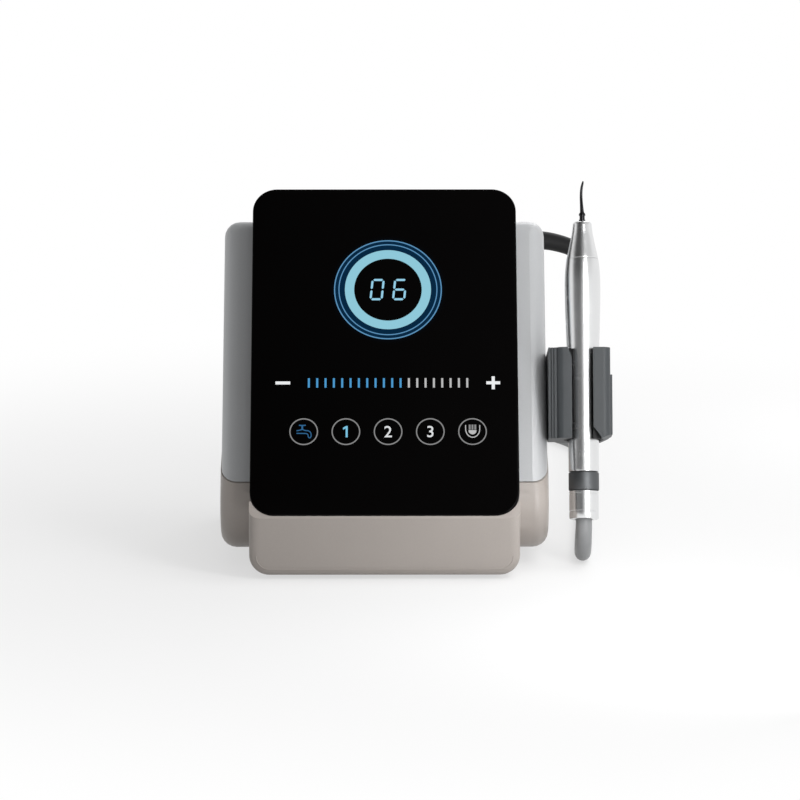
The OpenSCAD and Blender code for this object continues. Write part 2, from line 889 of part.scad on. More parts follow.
jack_body_r = 5.5;
jack_l = 16;
module foot_switch_socket() {
  color([0.15, 0.15, 0.16])
  difference() {
    union() {
      to_back(jack_x, wall_y - jack_l, socket_z)
        cylinder(r = jack_body_r - run_gap, h = jack_l + wall + 1);
      to_back(jack_x, back_y, socket_z)
        cylinder(r = jack_body_r + 2.5, h = 2.4, $fn = 12);
      to_back(jack_x, wall_y - 2, socket_z)
        cylinder(r = jack_body_r + 2, h = 2);
    }
    to_back(jack_x, back_y + 2.4 - jack_l + eps, socket_z)
      cylinder(r = foot_jack_r, h = jack_l);
  }
}

// Water inlet: a push-in fitting with a release collet
water_body_r = 7;
water_out = 9;
water_l = 22;
collet_r = 4.7;
collet_travel = 1.2;
collet_l = 6;
tube_bore_r = water_tube_r + run_gap;
module water_inlet() {
  depth = 16;
  color([0.78, 0.79, 0.8])
  difference() {
    union() {
      to_back(water_x, back_y - 6, socket_z)
        cylinder(r = water_body_r - run_gap, h = 6 + water_out);
      to_back(water_x, back_y, socket_z)
        cylinder(r = water_body_r + 2.4, h = 3, $fn = 6);
      to_back(water_x, wall_y - 2.5, socket_z)
        cylinder(r = water_body_r + 2, h = 2.5);
    }
    to_back(water_x, back_y + water_out - depth, socket_z)
      cylinder(r = tube_bore_r, h = depth + 1);
    to_back(water_x, back_y + water_out - collet_l - collet_travel, socket_z)
      cylinder(r = collet_r + run_gap, h = collet_l + 2);
    to_back(water_x, back_y - 7, socket_z)
      cylinder(r = 1.6, h = 6);
  }
}
module release_collet() {
  color([0.2, 0.35, 0.6])
  difference() {
    union() {
      to_back(water_x, back_y + water_out - collet_l + 0.2, socket_z)
        cylinder(r = collet_r, h = collet_l + 1.2);
      to_back(water_x, back_y + water_out + collet_travel + 0.2, socket_z)
        cylinder(r = collet_r + 1.3, h = 1.4);
    }
    to_back(water_x, back_y, socket_z)
      cylinder(r = tube_bore_r + 0.1, h = big/10);
  }
}

regulator_r = 8;
module pressure_regulator() {
  color([0.55, 0.56, 0.6])
  difference() {
    union() {
      to_back(water_x, wall_y - 26, socket_z)
        cylinder(r = regulator_r, h = back_y - 6 - wall_y + 26);
      to_back(water_x, feed_path[0].y, socket_z)
        cylinder(r = regulator_r - 3, h = 7);
    }
    to_back(water_x, wall_y - 12, socket_z)
      cylinder(r = 1.6, h = 12);
  }
}

module solenoid_valve() {
  color([0.2, 0.2, 0.22])
  translate([31, 0, floor_z]) {
    translate([-9, 66, 0])
      cube([18, 18, 14]);
    translate([0, 75, 14 - eps])
      cylinder(r = 8, h = 10);
    translate([0, 75, 24 - 2*eps])
      cylinder(r = 7, h = 3);
    for (y = [71, 79])
      translate([0, y, 26])
        cylinder(r = 2, h = outlet_path[0].z - floor_z - 26);
  }
}
module feed_tube() {
  color([0.75, 0.85, 0.95])
    tube(feed_path, same(2, feed_path), 8);
}
module outlet_tube() {
  color([0.75, 0.85, 0.95])
    tube(outlet_path, same(2, outlet_path), 8);
}

// Gland that the hose leaves through, with its nut inside
module hose_gland() {
  color([0.1, 0.1, 0.11])
  difference() {
    union() {
      to_back(gland_x, back_y - gland_in, gland_z)
        cylinder(r = gland_r, h = gland_in + 3);
      to_back(gland_x, back_y, gland_z)
        cylinder(r = 6.8, h = 3);
    }
    to_back(gland_x, back_y - gland_in + 2, gland_z)
      cylinder(r = 2.6, h = gland_in);
  }
}
module gland_nut() {
  color([0.72, 0.72, 0.7])
  difference() {
    to_back(gland_x, wall_y - 3.5, gland_z)
      cylinder(r = 7.4, h = 3.5, $fn = 6);
    to_back(gland_x, wall_y - 5, gland_z)
      cylinder(r = gland_r + run_gap, h = 6);
  }
}

// Hose: boot, free drop, coil, free run to the handpiece
module hose_boot() {
  n = len(boot_path) - 1;
  color([0.1, 0.1, 0.1])
    tube(boot_path, [for (i = [0:n]) i < 1 ? 5.4 : 5.2 - (5.2 - hose_r - 0.3)*min(1, i/(n - 2))],
      12);
}
module hose_drop() {
  color([0.6, 0.61, 0.62])
    tube(drop_path, same(hose_r, drop_path), 10, [0, 1, 0]);
}
module hose_run() {
  color([0.6, 0.61, 0.62])
    tube(run_path, same(hose_r, run_path), 10, [0, 0, 1]);
}

// Radius and height of the coil after t turns: in on the lower layer, out on
// the upper one, with the climb in the half turn about the middle
function turn_r(t) = coil_r - coil_pitch*min(t, coil_turns - t);
function turn_z(t) = coil_z + ease(0, coil_rise, (t - coil_turns/2 + 0.25)/0.5);
function turn_point(t) = [coil_x + turn_r(t)*cos(-90 - 360*t),
  coil_y + turn_r(t)*sin(-90 - 360*t), turn_z(t)];
coil_lead = [hose_d, 0, 0];
coil_path = concat(
  [turn_point(0) + coil_lead],
  [for (i = [0:coil_turns*coil_rings]) turn_point(i/coil_rings)],
  [turn_point(coil_turns) + coil_lead]);
// Least clear distance between two stretches of the coil half a turn apart or more
coil_gap = min([for (i = [1:len(coil_path) - 2 - coil_rings/2])
  min([for (j = [i + coil_rings/2:len(coil_path) - 2]) norm(coil_path[i] - coil_path[j])])])
  - hose_d;
module hose_coil() {
  echo(coil_gap = coil_gap);
  color([0.6, 0.61, 0.62])
    tube(coil_path, same(hose_r, coil_path), coil_sides, [0, 0, 1]);
}

// Tie round the coil's bundle, on its left side where both layers lie in line
module coil_tie() {
  rows = floor(coil_turns/2 + 0.25);
  outer = coil_r - coil_pitch/4 + hose_r + fit_gap;
  inner = coil_r - coil_pitch/4 - (rows - 1)*coil_pitch - hose_r - 3*fit_gap;
  top = coil_z + coil_rise + hose_r + fit_gap;
  color([0.1, 0.1, 0.1])
  translate([coil_x - outer, coil_y - 4.5, 0])
    difference() {
      translate([-tie_t, 0, 0])
        cube([outer - inner + 2*tie_t, 9, top + tie_t]);
      translate([0, -1, tie_t])
        cube([outer - inner, 11, top - tie_t]);
    }
}

// Holder: a grooved plate on the housing's side and a cradle of two jaws
plate_y0 = -8;
plate_y1 = 26;
holder_screw_s = [48, 70];
holder_screw_v = 20;
function holder_screw_y(i) = hand_point(holder_screw_s[i]).y + holder_screw_v*cos(lean);
function holder_screw_z(i) = hand_point(holder_screw_s[i]).z - holder_screw_v*sin(lean);
module holder_plate() {
  color([0.27, 0.29, 0.31])
  difference() {
    union() {
      on_handpiece(cradle_s0)
        translate([-holder_reach, 0, 0])
          rotate([90, 0, 90])
            linear_extrude(plate_t)
              polygon([[plate_y0, 0], [plate_y0 + 16, 0], [plate_y1, 7], [plate_y1, cradle_l],
                [plate_y0, cradle_l]]);
      // Pad that meets the cover, which lies a step further in
      intersection() {
        on_handpiece(cradle_s0 + 3)
          translate([-holder_reach - rim_step, 14, 0])
            cube([rim_step + eps, 10, cradle_l - 6]);
        above_seam(2);
      }
    }
    on_handpiece(cradle_s0 - 1) {
      for (x = [0.9, 2.1])
        translate([x - holder_reach, plate_y0 - eps, 0])
          cube([0.5, 0.8, cradle_l + 2]);
    }
    for (i = [0, 1])
      translate([half_w - rim_step - 1, holder_screw_y(i), holder_screw_z(i)])
        rotate([0, 90, 0])
          cylinder(r = screw_hole_r, h = big/10);
  }
}
module holder_screws() {
  color([0.75, 0.75, 0.77])
  for (i = [0, 1])
    translate([half_w + plate_t, holder_screw_y(i), holder_screw_z(i)])
      rotate([0, -90, 0])
        screw(8);
}
module cradle_bore(r) {
  circle(r);
  translate([slot_x - cradle_slot/2, -20])
    square([cradle_slot, 20]);
}
module holder_cradle() {
  left = -holder_reach + plate_t;
  slot_l = slot_x - cradle_slot/2;
  slot_r = slot_x + cradle_slot/2;
  color([0.24, 0.26, 0.28])
  on_handpiece(cradle_s0)
    difference() {
      union() {
        linear_extrude(cradle_l)
          difference() {
            union() {
              translate([(left + cradle_w/2)/2, 0.5])
                rounded(cradle_w/2 - left, 21, 3.5);
              translate([left, -8])
                square([5, 17]);
            }
            cradle_bore(cradle_bore_r + liner_t);
          }
        translate([cradle_w/2 - 1, -6, 0])
          cube([1.9, 12, cradle_l - 12]);
      }
      // Lead-in at the right jaw's foot, its rising underside, and the left jaw's eased top
      translate([0, -3, 0])
        rotate([90, 0, 0])
          linear_extrude(10)
            for (p = [[[slot_r - 1, -1], [slot_r + 4.6, -1], [slot_r, 5.2], [slot_r - 1, 5.2]],
                [[slot_l + 1, cradle_l + 1], [slot_l - 2.2, cradle_l + 1], [slot_l, cradle_l - 4.5]]])
              polygon(p);
      translate([0, 20, 0])
        rotate([90, 0, 0])
          linear_extrude(40)
            polygon([[8, 0], [8, -1], [20, -1], [20, 5]]);
    }
}
module cradle_liner() {
  color([0.12, 0.12, 0.13])
  on_handpiece(cradle_s0)
    linear_extrude(cradle_l)
      difference() {
        circle(cradle_bore_r + liner_t);
        cradle_bore(cradle_bore_r);
      }
}

// Handpiece's tail end, which stays on the hose when it is unplugged
module tail_ferrule() {
  color([0.85, 0.86, 0.87])
  on_handpiece()
    difference() {
      rotate_extrude()
        polygon([[0, 0], [6.2, 0], [6.6, 0.5], [6.6, ferrule_l - 0.2], [0, ferrule_l - 0.2]]);
      translate([0, 0, -1])
        cylinder(r = hose_r + fit_gap, h = 4);
      translate([0, 0, hose_in])
        cylinder(r = 5, h = ferrule_l);
    }
}
module coupling_ring() {
  color([0.4, 0.41, 0.43])
  on_handpiece(ring_s)
    difference() {
      cylinder(r = 6.85, h = ring_l);
      translate([0, 0, -1])
        cylinder(r = 5, h = ring_l + 2);
    }
}
module connector_core() {
  core_r = 5;
  color([0.85, 0.85, 0.83])
  on_handpiece()
    difference() {
      union() {
        translate([0, 0, hose_in])
          cylinder(r = core_r, h = handle_s - hose_in);
        translate([0, 0, handle_s - eps])
          cylinder(r = spigot_r, h = spigot_l);
      }
      for (s = seal_places)
        translate([0, 0, handle_s + s])
          rotate_extrude()
            translate([spigot_r - seal_in, -seal_r])
              square([2, 2*seal_r]);
      for (a = [0:90:270])
        rotate([0, 0, a])
          translate([2.2, 0, handle_s + spigot_l - 5])
            cylinder(r = 0.5, h = 6);
      translate([0, 0, handle_s + spigot_l - 8])
        cylinder(r = 1, h = 9);
    }
}
module contact_pins() {
  color([0.85, 0.7, 0.35])
  on_handpiece(handle_s + spigot_l - 5)
    for (a = [0:90:270])
      rotate([0, 0, a])
        translate([2.2, 0, 0])
          cylinder(r = 0.5, h = 7);
}
seal_places = [7, 14];
seal_r = 0.6;
seal_in = 1.15;
module connector_seals() {
  color([0.1, 0.1, 0.1])
  for (s = seal_places)
    on_handpiece(handle_s + s)
      rotate_extrude()
        translate([spigot_r - seal_in + seal_r, 0])
          circle(seal_r - 0.02, $fn = 24);
}

// Handle: outer radius at distance s from the tail
swell_s = hand_l - 28.5;
neck_s = handle_s + 39;
neck_r = tail_r + 0.2;
shoulder_r = grip_r - 0.85;
function handle_r(s) = s < neck_s ? ease(tail_r, neck_r, (s - handle_s)/(neck_s - handle_s))
  : s < swell_s ? ease(neck_r, grip_r, (s - neck_s)/(swell_s - neck_s))
  : grip_r - (grip_r - shoulder_r)*pow((s - swell_s)/(nose_s - swell_s), 2);
chamber_s = handle_s + spigot_l + 4;
module handle_sleeve() {
  stations = [for (i = [0:16]) handle_s + handle_gap + (nose_s - handle_s - handle_gap)*i/16];
  color([0.8, 0.81, 0.82])
  on_handpiece()
    difference() {
      rotate_extrude()
        polygon(concat([[0, handle_s + handle_gap]],
          [for (s = stations) [handle_r(s), s]], [[0, nose_s]]));
      translate([0, 0, handle_s - 1])
        cylinder(r = bore_r, h = spigot_l + 1.5);
      translate([0, 0, chamber_s - 5])
        cylinder(r = 3.4, h = 6);
      translate([0, 0, chamber_s])
        cylinder(r = chamber_r, h = nose_s - chamber_s + 1);
    }
}

// Transducer inside the handle
module back_mass() {
  color([0.55, 0.56, 0.58])
  on_handpiece(back_s)
    difference() {
      cylinder(r = 5, h = back_l);
      translate([0, 0, -1])
        cylinder(r = bolt_r + run_gap, h = back_l + 2);
    }
}
module piezo_discs() {
  color([0.75, 0.72, 0.62])
  for (i = [0:disc_n - 1])
    on_handpiece(stack_s + electrode_t + i*(disc_t + electrode_t))
      difference() {
        cylinder(r = 5, h = disc_t);
        translate([0, 0, -1])
          cylinder(r = bolt_r + 0.4, h = disc_t + 2);
      }
}
module disc_electrodes() {
  color([0.8, 0.65, 0.35])
  for (i = [0:disc_n])
    on_handpiece(stack_s + i*(disc_t + electrode_t))
      difference() {
        cylinder(r = 5.2, h = electrode_t);
        translate([0, 0, -1])
          cylinder(r = bolt_r + 0.4, h = electrode_t + 2);
      }
}
module prestress_bolt() {
  color([0.5, 0.5, 0.52])
  on_handpiece(back_s - 3) {
    cylinder(r = 3.4, h = 3, $fn = 6);
    cylinder(r = bolt_r, h = 3 + back_l + stack_l + 7);
  }
}
module horn() {
  horn_l = horn_front - horn_s;
  flange = horn_flange_s - horn_s;
  color([0.7, 0.71, 0.74])
  on_handpiece(horn_s)
    difference() {
      rotate_extrude()
        polygon([[0, 0], [5, 0], [5, flange - 2], [4.6, flange - 2], [4.6, flange - 0.8],
          [chamber_r - run_gap, flange - 0.8], [chamber_r - run_gap, flange + 1.2], [4, flange + 1.2],
          [3.4, flange + 6], [2.2, flange + 14], [1.9, flange + 20], [1.9, horn_l], [0, horn_l]]);
      translate([0, 0, -1])
        cylinder(r = bolt_r + run_gap, h = 8.3);
      translate([0, 0, horn_l - 5])
        cylinder(r = stud_r + run_gap, h = 6);
    }
}
module horn_seal() {
  color([0.6, 0.15, 0.1])
  on_handpiece(horn_flange_s + 2)
    rotate_extrude()
      translate([chamber_r - run_gap - horn_seal_r, 0])
        circle(horn_seal_r, $fn = 24);
}
module nose_cone() {
  l = hand_l - nose_s;
  spigot = 5;
  color([0.8, 0.81, 0.82])
  on_handpiece(nose_s)
    difference() {
      rotate_extrude()
        polygon([[0, -spigot], [chamber_r - run_gap, -spigot], [chamber_r - run_gap, 0.1],
          [shoulder_r - 0.1, 0.1], [shoulder_r - 0.4, 1.3], [5, l*0.54],
          [nose_r + 0.2, l - 1.5], [nose_r - 0.5, l], [0, l]]);
      translate([0, 0, -spigot - 1])
        cylinder(r = 2.6, h = l + spigot + 2);
      translate([0, 0, -spigot - 1])
        cylinder(r = 4.6, h = spigot + 1 + eps);
      cylinder(r1 = 4.6, r2 = 2.6, h = l*0.5);
    }
}

// Scaler tip: a collar with a stud, and a slim bent blade that tapers
module scaler_tip() {
  l = tip_l;
  blade = [[0, 0, collar_l - 0.4], [-0.1, 0, collar_l + 1.2], [-0.2, 0.1, l*0.42], [-0.3, 0.5, l*0.54],
    [-0.35, 0.7, l*0.66], [-0.3, 0.4, l*0.78], [-0.1, -0.4, l*0.88], [0.2, -1.3, l*0.95],
    [0.4, -2.2, l]];
  color([0.2, 0.2, 0.22])
  on_handpiece(hand_l - 0.3) {
    difference() {
      cylinder(r = 1.5, h = collar_l);
      for (a = [0, 180])
        rotate([0, 0, a])
          translate([1.15, -3, 1.4])
            cube([2, 6, 2]);
    }
    translate([0, 0, -4])
      cylinder(r = stud_r, h = 4 + eps);
    tube(blade, [0.95, 0.85, 0.75, 0.68, 0.64, 0.6, 0.56, 0.5, 0.34], 10);
  }
}

base_housing();
base_plate();
base_screws();
rubber_feet();
rear_cover();
cover_screws();
panel_tray();
panel_screws();
touch_glass();
display_rings();
display_digits();
level_scale();
touch_keys();
light_guide_ring();
digit_module();
touch_board();
main_board();
board_standoffs();
heat_sink();
output_transformer();
power_supply();
mains_inlet();
inlet_pins();
switch_bezel();
power_rocker();
foot_switch_socket();
water_inlet();
release_collet();
pressure_regulator();
solenoid_valve();
feed_tube();
outlet_tube();
hose_gland();
gland_nut();
hose_boot();
hose_drop();
hose_coil();
hose_run();
coil_tie();
holder_plate();
holder_screws();
holder_cradle();
cradle_liner();
tail_ferrule();
coupling_ring();
connector_core();
contact_pins();
connector_seals();
handle_sleeve();
back_mass();
piezo_discs();
disc_electrodes();
prestress_bolt();
horn();
horn_seal();
nose_cone();
scaler_tip();
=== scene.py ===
"""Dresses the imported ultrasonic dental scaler: finishes, touch panel, handpiece, hose and studio."""
import json
import math

import bmesh
import bpy
from bpy.props import FloatProperty, FloatVectorProperty, IntProperty, PointerProperty
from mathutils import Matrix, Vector


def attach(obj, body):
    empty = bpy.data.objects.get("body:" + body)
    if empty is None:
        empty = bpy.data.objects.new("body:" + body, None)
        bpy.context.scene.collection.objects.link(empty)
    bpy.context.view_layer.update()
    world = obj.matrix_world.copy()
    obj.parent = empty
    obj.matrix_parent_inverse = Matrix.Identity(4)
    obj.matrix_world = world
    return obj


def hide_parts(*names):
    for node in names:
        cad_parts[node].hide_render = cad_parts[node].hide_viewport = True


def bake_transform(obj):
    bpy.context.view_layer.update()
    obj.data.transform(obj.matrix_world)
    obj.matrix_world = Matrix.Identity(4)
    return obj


bl_info = {
    "name": "Dental scaler dressing",
    "version": (1, 0, 0),
    "blender": (4, 5, 0),
    "location": "View3D > Sidebar > Scaler",
    "description": "Gives the packed ultrasonic dental scaler its finishes, marks, hose and studio",
    "category": "Object",
}

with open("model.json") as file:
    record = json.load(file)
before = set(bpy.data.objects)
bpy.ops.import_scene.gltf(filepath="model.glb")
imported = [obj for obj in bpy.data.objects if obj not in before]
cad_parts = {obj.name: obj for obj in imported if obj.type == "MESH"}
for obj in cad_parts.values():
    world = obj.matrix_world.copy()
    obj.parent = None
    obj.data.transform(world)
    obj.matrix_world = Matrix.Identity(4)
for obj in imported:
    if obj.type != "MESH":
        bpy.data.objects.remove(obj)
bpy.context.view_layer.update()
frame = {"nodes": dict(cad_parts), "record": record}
BODY_OF = {node: body for body, nodes in frame["record"]["behaviour"]["bodies"].items() for node in nodes}
SLOT_OF = {part["node"]: part["material_slot"] for part in frame["record"]["subparts"]}
MM = 0.001

# Lean of the panel and of the handpiece, and the points that the frames on the object start from, in mm
RECLINE = math.radians(34.6)
LEAN = math.radians(19.7)
PANEL_FOOT = Vector((0, -19.5, 29.8))
TAIL = Vector((89.5, 2.5, 22.1))
JACK_MOUTH = Vector((14, 110, 45))
PANEL_W, PANEL_H, PANEL_R = 120.0, 159.0, 11.0
GLASS_T = 2.18  # 0.02 less than in the solids, clear of the tray
CREASE = 32  # degrees: an edge sharper than this stays sharp


class Place:
    """A frame of its own on the object: a point in its millimetres becomes one in metres."""

    def __init__(self, origin, across, along, out):
        self.origin, self.across, self.along, self.out = origin, Vector(across), Vector(along), Vector(out)

    def __call__(self, x, y, z=0.0):
        return (self.origin + self.across * x + self.along * y + self.out * z) * MM


PANEL = Place(PANEL_FOOT, (1, 0, 0), (0, math.sin(RECLINE), math.cos(RECLINE)),
              (0, -math.cos(RECLINE), math.sin(RECLINE)))
HAND = Place(TAIL, (1, 0, 0), (0, math.cos(LEAN), -math.sin(LEAN)), (0, math.sin(LEAN), math.cos(LEAN)))
JACK = Place(JACK_MOUTH, (1, 0, 0), (0, 0, -1), (0, 1, 0))


# Shader expressions

class Term:
    """A socket that takes part in sums: an expression on it adds its Math nodes."""

    def __init__(self, sheet, socket):
        self.sheet, self.socket = sheet, socket

    def _math(self, operation, a, b=0.0):
        node = self.sheet.add("ShaderNodeMath", {"operation": operation}, {0: a, 1: b})
        return Term(self.sheet, node.outputs[0])

    def __add__(self, other):
        return self._math("ADD", self, other)

    def __mul__(self, other):
        return self._math("MULTIPLY", self, other)

    def __sub__(self, other):
        return self._math("SUBTRACT", self, other)

    def __rsub__(self, other):
        return self._math("SUBTRACT", other, self)

    def __gt__(self, other):
        return self._math("GREATER_THAN", self, other)

    __radd__ = __add__
    __rmul__ = __mul__

    def sine(self):
        return self._math("SINE", self)

    def size(self):
        return self._math("ABSOLUTE", self)

    def root(self):
        return self._math("SQRT", self)

    def ramp(self, low, high):
        """0 below low, 1 above high and a soft step between them."""
        node = self.sheet.add("ShaderNodeMapRange", {"interpolation_type": "SMOOTHSTEP"},
                              {"Value": self, "From Min": low, "From Max": high})
        return Term(self.sheet, node.outputs[0])


class Sheet:
    """A node tree that is filled through one method."""

    def __init__(self, tree):
        self.tree = tree
        tree.nodes.clear()

    def add(self, kind, settings=None, sockets=None):
        """One node: its settings first, then the values or links of its sockets."""
        node = self.tree.nodes.new(kind)
        for name, value in (settings or {}).items():
            setattr(node, name, value)
        for name, value in (sockets or {}).items():
            self.feed(node.inputs[name], value)
        return node

    def feed(self, socket, value):
        if isinstance(value, Term):
            self.tree.links.new(value.socket, socket)
        elif isinstance(value, bpy.types.NodeSocket):
            self.tree.links.new(value, socket)
        elif socket.type == "RGBA":
            socket.default_value = (*value, 1)
        else:
            socket.default_value = value

    def where(self, space="Object"):
        """X, Y and Z on the piece, in metres, or in Generated those of a direction."""
        spot = self.add("ShaderNodeTexCoord").outputs[space]
        parts = self.add("ShaderNodeSeparateXYZ", None, {0: spot}).outputs
        return [Term(self, p) for p in parts]

    def along(self, direction, start):
        """Distance from start along a direction, in millimetres, on the piece."""
        spot = self.add("ShaderNodeTexCoord").outputs["Object"]
        node = self.add("ShaderNodeVectorMath", {"operation": "DOT_PRODUCT"}, {0: spot, 1: tuple(direction)})
        return Term(self, node.outputs["Value"]) * 1000 - start.dot(direction)

    def noise(self, size_mm, detail=2.0, stretch=(1, 1, 1), roughness=0.5):
        """Noise with grains of about that size, stretched along the axes."""
        spot = self.add("ShaderNodeTexCoord").outputs["Object"]
        spread = self.add("ShaderNodeMapping", None, {"Vector": spot, "Scale": tuple(1 / s for s in stretch)})
        node = self.add("ShaderNodeTexNoise", None,
                        {"Vector": spread.outputs[0], "Scale": 1000 / size_mm, "Detail": detail,
                         "Roughness": roughness})
        return Term(self, node.outputs[0])

    def cells(self, size_mm):
        spot = self.add("ShaderNodeTexCoord").outputs["Object"]
        node = self.add("ShaderNodeTexVoronoi", None, {"Vector": spot, "Scale": 1000 / size_mm})
        return Term(self, node.outputs["Distance"])

    def seen_directly(self):
        """1 where the camera, a reflection or glass looks, and 0 for the light that falls on the object."""
        ray = self.add("ShaderNodeLightPath").outputs
        return Term(self, ray["Is Camera Ray"]) + ray["Is Glossy Ray"] + ray["Is Transmission Ray"]

    def mix(self, share, first, second):
        """A colour between two colours."""
        node = self.add("ShaderNodeMix", {"data_type": "RGBA"}, {"Factor": share, "A": first, "B": second})
        return Term(self, node.outputs["Result"])


class Finish(Sheet):
    """A material with one Principled shader."""

    def __init__(self, name, colour, roughness, metallic=0.0, **constants):
        self.material = bpy.data.materials.new(name)
        self.material.use_nodes = True
        super().__init__(self.material.node_tree)
        self.material.diffuse_color = (*colour, 1)
        self.colour = colour
        self.shader = self.add("ShaderNodeBsdfPrincipled", None,
                               {"Base Color": colour, "Roughness": roughness, "Metallic": metallic})
        for socket, value in constants.items():
            self.feed(self.shader.inputs[socket.replace("_", " ")], value)
        self.add("ShaderNodeOutputMaterial", None, {"Surface": self.shader.outputs[0]})

    def set(self, socket, value):
        self.feed(self.shader.inputs[socket], value)

    def tint(self, share, low, high):
        """Base Color between two shades of the finish's own colour."""
        shades = [tuple(min(1, c * k) for c in self.colour) for k in (low, high)]
        self.set("Base Color", self.mix(share, *shades))

    def bump(self, height, depth_mm, strength):
        node = self.add("ShaderNodeBump", None,
                        {"Strength": strength, "Distance": depth_mm * MM, "Height": height})
        self.set("Normal", node.outputs[0])


FINISHES = {}


def finish(name, maker, *arguments):
    """The material of that name, made when it is first asked for."""
    if name not in FINISHES:
        FINISHES[name] = maker(name, *arguments)
    return FINISHES[name]


# Kinds of skin: the grain and the drift (size in mm, detail, stretch, roughness), the grain's share in the
# shade, the darkest and the palest shade, what grain, drift and offset add to the roughness, depth in mm
# and strength of the relief, and the constants of the shader
MOULDED = ((34, 2.0), 0.45, (0.93, 1.07), (0.06, 0.08, -0.07), (0.01, 0.6))
METAL = ((7, 3.0), 0.4, (0.88, 1.06), (0.1, 0.1, -0.1), (0.006, 0.5), {"metallic": 1.0})
KINDS = {
    "plastic": ((0.4, 3.0), *MOULDED, {}),
    "painted": ((0.9, 3.0), *MOULDED, {"Coat_Weight": 0.1, "Coat_Roughness": 0.12}),
    "eroded": ((0.35, 4.0, (1, 1, 1), 0.7), (14, 3.0), 0.5, (0.78, 1.25), (0.16, 0.1, -0.14), (0.03, 0.8),
               {}),
    "rubber": ((0.25, 2.0), (6, 4.0), 0.3, (0.75, 1.3), (0.0, 0.15, -0.08), (0.015, 0.6),
               {"Specular_IOR_Level": 0.25}),
    "silicone": ((0.5, 3.0), (11, 3.0), 0.3, (0.9, 1.1), (0.08, 0.12, -0.1), (0.01, 0.5),
                 {"Sheen_Weight": 0.12, "Sheen_Roughness": 0.5}),
    "fired": ((0.6, 4.0), (9, 2.0), 1.0, (0.85, 1.1), (0.0, 0.0, 0.0), (0.01, 0.5), {}),
    "milky": ((5, 2.0), (9, 2.0), 1.0, (0.9, 1.05), (0.1, 0.0, -0.05), None, {"Transmission_Weight": 0.35}),
    "plated": ((0.3, 3.0), *METAL),
    "hardened": ((0.2, 3.0), *METAL),
    "ground": ((0.4, 3.0, (6, 1, 1)), *METAL),
    "brushed": ((0.3, 3.0, (1, 8, 1)), *METAL),
}


def skin(name, kind, colour, roughness):
    """A surface whose shade and sheen sway with a fine grain and a slow drift, the grain in relief."""
    grain, drift, share, shades, sway, relief, constants = KINDS[kind]
    made = Finish(name, colour, roughness, **constants)
    fine, slow = made.noise(*grain), made.noise(*drift)
    made.tint(fine * share + slow * (1 - share), *shades)
    made.set("Roughness", fine * sway[0] + slow * sway[1] + (roughness + sway[2]))
    if relief:
        made.bump(fine, *relief)
    return made.material


def silver_paint(name, colour):
    """Silver paint with fine flakes under a thin clear coat."""
    paint = Finish(name, colour, 0.4, 0.25, Coat_Weight=0.1, Coat_Roughness=0.25)
    flakes = paint.cells(0.32)
    drift = paint.noise(40, 2.0)
    paint.tint(flakes * 0.6 + drift * 0.4, 0.94, 1.08)
    paint.set("Roughness", flakes * 0.1 + drift * 0.06 + 0.36)
    paint.bump(paint.noise(1.6, 2.0), 0.012, 0.5)
    return paint.material


def turned_metal(name, colour, roughness, pitch_mm):
    """Turned and satin blasted metal: fine rings round its axis and a soft cloud in its sheen."""
    metal = Finish(name, colour, roughness, 1.0)
    rings = (metal.along(HAND.out, TAIL) * (2 * math.pi / pitch_mm)).sine()
    cloud = metal.noise(9, 3.0)
    blast = metal.noise(0.12, 1.0)
    metal.tint(cloud * 0.6 + blast * 0.4, 0.95, 1.04)
    metal.set("Roughness", cloud * 0.07 + blast * 0.06 + (roughness - 0.06))
    metal.bump(rings * 0.35 + blast, 0.003, 0.5)
    return metal.material


def dark_glass(name, colour, halo_colour):
    """Black glass with a quiet surface, and a faint blue haze round the display."""
    glass = Finish(name, colour, 0.07, Specular_IOR_Level=0.05, Emission_Strength=0.5)
    x = glass.along(PANEL.across, PANEL_FOOT) - DISPLAY[0]
    u = glass.along(PANEL.along, PANEL_FOOT) - DISPLAY[1]
    reach = (x * x + u * u).root()
    haze = reach.ramp(17.0, 20.0) * (1 - reach.ramp(21.0, 28.0))
    smear = glass.noise(26, 3.0)
    glass.set("Roughness", smear * 0.05 + 0.045)
    glass.tint(smear, 0.8, 1.2)
    glass.set("Emission Color", glass.mix(haze * haze, (0, 0, 0), halo_colour))
    return glass.material


def lit(name, colour):
    """A lit window in the print: even light with a faint grain of the diffuser."""
    glow = Finish(name, tuple(c * 0.04 for c in colour), 0.35, Specular_IOR_Level=0.08, Emission_Strength=1.0)
    grain = glow.noise(0.7, 2.0)
    glow.set("Emission Color", glow.mix(grain, tuple(c * 0.92 for c in colour), colour))
    return glow.material


def lit_scale(name, on_colour, off_colour, sign_colour, lit_ticks):
    """The level scale: white signs, lit ticks on the left and grey ones on the right."""
    glow = Finish(name, (0.01, 0.01, 0.01), 0.4, Specular_IOR_Level=0.08, Emission_Strength=1.0)
    x = glow.along(PANEL.across, PANEL_FOOT) - DISPLAY[0]
    off = x > (lit_ticks - 10) * TICK_PITCH
    ticks = glow.mix(off, on_colour, off_colour)
    both = glow.mix(x.size() > 40, ticks, sign_colour)
    grain = glow.noise(0.6, 2.0)
    glow.set("Base Color", glow.mix(0.03, (0, 0, 0), both))
    glow.set("Emission Color", glow.mix(grain * 0.12, both, (0.05, 0.05, 0.06)))
    return glow.material


def board(name, colour):
    """Solder mask over copper tracks."""
    mask = Finish(name, colour, 0.35)
    x, y, z = mask.where()
    tracks = ((x * 2400).sine() * (y * 1900).sine() + (z * 2100).sine() * 0.5).ramp(0.55, 0.6)
    mask.set("Base Color", mask.mix(tracks, colour, tuple(c * 1.7 for c in colour)))
    mask.bump(tracks, 0.03, 0.6)
    return mask.material


